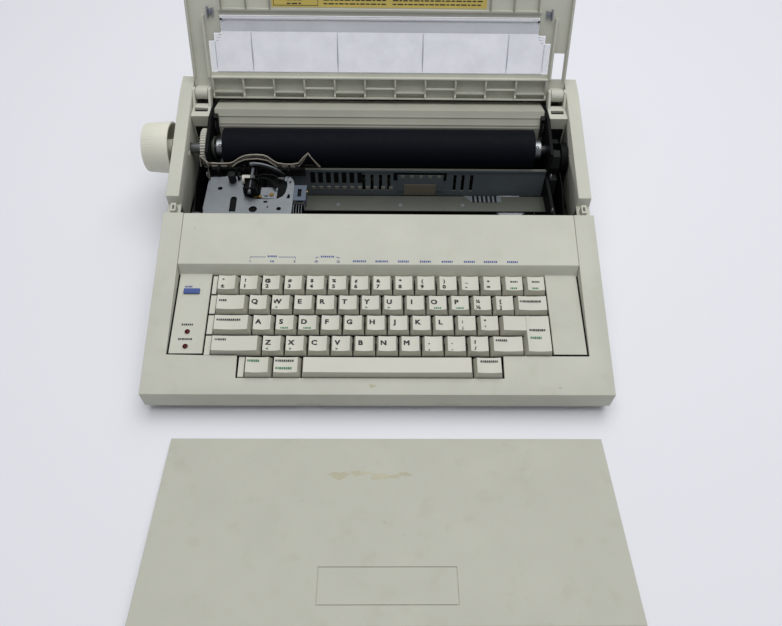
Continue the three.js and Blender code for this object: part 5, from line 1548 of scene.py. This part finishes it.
    def small_works(self) -> None:
        """Makes the brass pins, the steel block, the side bracket, the cable and the springs."""
        brass = Form()
        for x, y, radius in ((-113.8, 184.4, 1.9), (-109.4, 183.9, 1.5), (-99.4, 187.0, 2.0)):
            brass.rod((x, y, 63), (x, y, 67.9), radius, 16)
        brass.rod((-68.2, 193, 64.6), (-66.5, 193, 64.6), 1.5, 16)
        brass.piece("brass_pins", BRASS, "carriage")
        Form().boxes(
            (-109.8, -94.6, 182.4, 196.6, 65.7, 66.7, 0.2),
            (-105.8, -103.0, 185.0, 192.0, 66.4, 68.0, 0.4),
        ).piece("steel_block", STEEL, "carriage")
        cuts = ([-79.2, -75.8, -72.2, -67.8], [179.6, 184.4, 194.4, 199.2])
        bracket = Form().lattice(cuts, {(1, 1)}, 66.1, 67.4)
        bracket.box(-69.0, -67.8, 179.8, 199.0, 58, 66.6, 0.2)
        bracket.piece("side_bracket", BLUE_GREY, "carriage")
        Form().boxes(
            (-77.0, -71.0, 183.4, 195.4, 61, 65.6, 0.3),
            (-79.0, -69.6, 176.4, 178.4, 43, 64.0, 0.3),
        ).piece("cable_end", BLACK_SHEET_AND_SHADE, "carriage")
        path = [(-78.2, y, z) for y, z in ((178.2, 63.6), (175.0, 65.6), (169.0, 65.8), (163.0, 62))]
        Form().pipe(path, 0.4, 6).row("cable_wires", 4, (2.4, 0, 0), DULL, "carriage")
        coils = Form()
        turns = [2 * math.pi * i / 12 for i in range(73)]
        for x, y, z in self.springs:
            path = [
                (x + i * 0.1, y + 1.3 * math.cos(turn), z + 1.3 * math.sin(turn))
                for i, turn in enumerate(turns)
            ]
            coils.pipe(path, 0.26, 6)
        coils.piece("hook_springs", ROD, "carriage")

    def steel_plate(self) -> None:
        """Makes the steel plate with its holes and curved arm, its folds, its hooks and the arc."""
        holes = [
            *(Form.circle(*hole) for hole in self.plate_holes),
            self.plate_slot,
            [(-106.0, 176.2), (-102.4, 176.2), (-102.4, 178.6), (-106.0, 178.6)],
            [(-85.6, 181.9), (-82.4, 181.9), (-82.4, 186.9), (-84.4, 187.4)],
        ]
        sheet = Form().sheet(self.plate, holes, *self.plate_level)
        sheet.piece("carriage_plate_sheet", STEEL, "carriage", "carriage_plate")
        Form().boxes(
            (-159.8, -158.6, 168, 205, 62.4, 67.0, 0.3),
            (-150, -100, 162.1, 163.3, 62.4, 67.0, 0.3),
        ).piece("plate_folds", STEEL, "carriage")
        Form().boxes(
            (-88.2, -86.4, 202.4, 206.4, 67.2, 69.6, 0.3),
            (-84.4, -82.6, 202.4, 206.4, 67.2, 69.6, 0.3),
        ).piece("plate_hooks", STEEL, "carriage")
        near, far, front, back = self.arc
        corners = ((near, front), (near, back), (far, back), (far, front))
        turns = [math.radians(94 - 3.2 * i) for i in range(19)]
        Form().loft([
            [(WHEEL_X + r * math.cos(turn), y, WHEEL_Z + r * math.sin(turn)) for r, y in corners]
            for turn in turns
        ]).piece("wheel_arc", STEEL, "carriage")

    def build(self) -> None:
        """Builds the carriage."""
        self.frame_parts()
        self.solenoid()
        self.card_sheet()
        self.card_glints()
        self.small_works()
        self.steel_plate()


@dataclass
class Lid:
    """The access lid, its clear window, clips and label.

    Args:
        label: left, right, near and far edge of the label inside the lid.
        columns: left end, right end and number of rows of each column of dashes on it.
        frame_line: left, right, near and far side of the thin line round its first column.
        print_width: widths that the dashes take in turn.
        scores: places of the score lines in the window.
        strip: near and far edge of the hazed strip.
    """

    label: tuple[float, float, float, float] = (-100.5, 98.8, 76.4, 108.0)
    columns: tuple[tuple[float, float, int], ...] = ((-86.5, -70.5, 6), (-52.5, 7.5, 9), (11.5, 94.8, 9))
    frame_line: tuple[float, float, float, float] = (-99.0, -57.5, 77.6, 100.4)
    print_width: Row = (3.4, 5.2, 2.4, 4.2)
    scores: Row = (-122.0, -40.7, 40.7, 122.0)
    strip: tuple[float, float] = (55.0, 64.4)

    def label_plate(self) -> None:
        """Makes the plain yellow label, with dashes where the object has words."""
        left, right, near, far = self.label
        sheet = Form(lid_frame()).box(left, right, -far, -near, LID_INNER - 0.25, LID_INNER + 0.1)
        sheet.piece("lid_label", LABEL, "lid")
        ink = Form(lid_frame())
        low, high = LID_INNER - 0.33, LID_INNER - 0.13
        for x0, x1, rows in self.columns:
            for i in range(rows):
                p = near + 3.0 + i * 3.2
                x, k = x0, i
                while x < x1 - 3:
                    wide = self.print_width[k % 4]
                    ink.box(x, min(x + wide, x1), -p - 0.55, -p + 0.55, low, high)
                    x += wide + 1.1
                    k += 1
        x0, x1, p0, p1 = self.frame_line
        for a, b, c, d in (
            (x0, x1, p0, p0 + 0.5),
            (x0, x1, p1 - 0.5, p1),
            (x0, x0 + 0.5, p0, p1),
            (x1 - 0.5, x1, p0, p1),
        ):
            ink.box(a, b, -d, -c, low, high)
        ink.piece("lid_label_print", INK, "lid")

    def clips(self) -> None:
        """Makes the clear clips that hold the window's ends, and their small pins."""
        Form(lid_frame()).twins(
            (155, 161, -74.6, -69.5, 6.6, 8.4, 0.3),
            (159.9, 160.9, -76.4, -66.4, 4.6, 8.4, 0.2),
            (154.9, 155.9, -75.4, -68.4, 5.4, 8.4, 0.2),
        ).piece("window_clips", CLIP, "lid")
        pins = Form(lid_frame())
        for x in (-156.6, 156.6):
            pins.rod((x, -71.4, 5.4), (x, -71.4, 7.0), 0.8, 12)
        pins.twins((159.0, 159.8, -73.4, -69.8, 5.6, 7.0)).piece("clip_pins", DULL, "lid")

    def window(self) -> None:
        """Dresses the window and adds its hazed strip, score lines, roll and pins."""
        dressed("lid_window", CLEAR, 0.2)
        near, far = self.strip
        strip = Form(lid_frame()).box(-149.6, 149.6, -far, -near, 8.3, 8.5)
        strip.piece("window_strip", HAZED, "window")
        scores = Form(lid_frame())
        for x in self.scores:
            right = [(0.3, -54), (0.75, -30), (0.3, -19.6)]
            outline = [(x + half, p) for half, p in right] + [(x - half, p) for half, p in right[::-1]]
            scores.prism(outline, "Z", 8.22, 8.46)
        scores.box(-157, 157, -19.2, -18.7, 8.1, 8.46).twins(
            (152.6, 155.4, -47.05, -46.55, 8.1, 8.46),
            (151.2, 154.0, -49.65, -49.15, 8.1, 8.46),
            (149.8, 152.6, -52.25, -51.75, 8.1, 8.46),
            (156.3, 156.9, -46, -22, 8.1, 8.46),
        ).piece("window_scores", SCORE, "window")
        roll = Form(lid_frame()).rod((-149.2, -66.4, 9.2), (149.2, -66.4, 9.2), 2.05, 20, 0.4)
        roll.piece("window_roll", ROLL, "window")
        pins = Form(lid_frame())
        for x in (-148.6, 148.6):
            pins.rod((x, -65.6, 6.7), (x, -65.6, 7.6), 1.1, 12)
        pins.piece("window_pins", INK, "window")

    def build(self) -> None:
        """Builds the lid."""
        dressed("access_lid", CASE, 0.3)
        self.window()
        self.clips()
        self.label_plate()


@dataclass
class Cover:
    """The keyboard cover that lies in front of the machine.

    Args:
        patches: middle, half length and half depth of each patch of old glue.
        front: depth of the cover's front edge.
        length: its length from front to back.
        heights: height of its top in front and behind.
    """

    patches: tuple[tuple[float, float, float, float], ...] = (
        (-30.0, -60.0, 7.5, 3.2),
        (-14.0, -58.0, 8.0, 2.0),
        (4.0, -61.0, 11.0, 2.4),
        (20.0, -59.0, 6.0, 1.6),
    )
    front: float = -171
    length: float = 144
    heights: tuple[float, float] = (20, 4)

    def top_z(self, y: float) -> float:
        """Height of the cover's top at a depth."""
        high, low = self.heights
        return high + (y - self.front) * (low - high) / self.length

    def build(self) -> None:
        """Dresses the cover and leaves thin patches of old glue on its top."""
        dressed("keyboard_cover", COVER, 0.7, 2.0)
        form = Form()
        for k, patch in enumerate(self.patches):
            outline = blob(*patch, 22, (0.22, 3, k), (0.16, 7, 2 * k))
            form.loft([[(a, b, self.top_z(b) + z) for a, b in outline] for z in (-0.2, 0.04)])
        form.piece("cover_residue", RESIDUE, "cover")


@dataclass
class Studio:
    """Floor, lights and the camera at the photograph's place.

    Args:
        eye: camera place in the machine's own millimetres.
        pitch: degrees below the horizon.
        yaw: degrees to the right of straight ahead.
        roll: degrees of roll.
        focal_px: focal length in the photograph's pixels.
        width_px: the photograph's width.
        sensor: width of the camera's sensor.
        floor_colour: display colour of the desk.
        sky: colour and strength of the light from all round.
        lamps: name, place in metres, size and power of each lamp.
    """

    eye: tuple[float, float, float] = (2.7, -261.03, 505.32)
    pitch: float = 54.34
    yaw: float = 1.32
    roll: float = 1.30
    focal_px: float = 668.55
    width_px: float = 782.0
    sensor: float = 36.0
    floor_colour: tuple[int, int, int] = (230, 231, 237)
    sky: tuple = ((0.95, 0.97, 1.0, 1), 0.29)
    lamps: tuple = (
        ("window_lamp", (0.7, 1.3, 1.8), 1.4, 6),
        ("ceiling_lamp", (0.12, 0.22, 2.0), 1.8, 31.5),
    )

    def camera(self) -> None:
        """Makes the camera."""
        p, y, r = (math.radians(a) for a in (self.pitch, self.yaw, self.roll))
        ahead = Vector((math.sin(y) * math.cos(p), math.cos(y) * math.cos(p), -math.sin(p)))
        right = Vector((math.cos(y), -math.sin(y), 0))
        up = right.cross(ahead)
        across = math.cos(r) * right + math.sin(r) * up
        above = -math.sin(r) * right + math.cos(r) * up
        turn = Matrix((across, above, -ahead)).transposed().to_4x4()
        data = bpy.data.cameras.new("photo_camera")
        data.sensor_width = self.sensor
        data.sensor_fit = "HORIZONTAL"
        data.lens = self.focal_px / self.width_px * self.sensor
        data.clip_start = 0.02
        camera = stand("photo_camera", data)
        camera.matrix_world = Matrix.Translation(machine_frame() @ Vector(self.eye)) @ turn
        bpy.context.scene.camera = camera

    def floor(self) -> None:
        """Makes the pale desk that everything stands on."""
        work = bmesh.new()
        bmesh.ops.create_grid(work, x_segments=1, y_segments=1, size=6)
        mesh = bpy.data.meshes.new("desk")
        work.to_mesh(mesh)
        work.free()
        desk = stand("desk", mesh)
        desk.location.z = -0.0002
        material = bpy.data.materials.new("desk_paper")
        material.use_nodes = True
        shader = material.node_tree.nodes["Principled BSDF"]
        shader.inputs["Base Color"].default_value = (*map(linear, self.floor_colour), 1)
        shader.inputs["Roughness"].default_value = 0.9
        mesh.materials.append(material)

    def lamp(self, name: str, place: Point, size: float, power: float) -> None:
        """A soft square lamp that points at the machine."""
        data = bpy.data.lights.new(name, "AREA")
        data.shape = "SQUARE"
        data.size = size
        data.energy = power
        lamp = stand(name, data)
        lamp.location = place
        lamp.rotation_euler = (Vector((0, 0, 0.05)) - Vector(place)).to_track_quat("-Z", "Y").to_euler()

    def build(self) -> None:
        """Sets up the whole studio."""
        self.camera()
        self.floor()
        world = bpy.data.worlds.new("studio")
        world.use_nodes = True
        background = world.node_tree.nodes["Background"]
        background.inputs["Color"].default_value, background.inputs["Strength"].default_value = self.sky
        bpy.context.scene.world = world
        bpy.context.scene.view_settings.view_transform = "Standard"
        for lamp in self.lamps:
            self.lamp(*lamp)


def main() -> None:
    """Builds every assembly in order."""
    logging.basicConfig(level=logging.INFO, format="%(name)s %(message)s")
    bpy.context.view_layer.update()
    Studio().build()
    for assembly in (CaseShell, Keyboard, Legends, PaperFeed, Chassis, CarriageWorks, Lid, Cover):
        log.info("building %s", assembly.__name__)
        assembly().build()


if __name__ == "__main__":
    main()
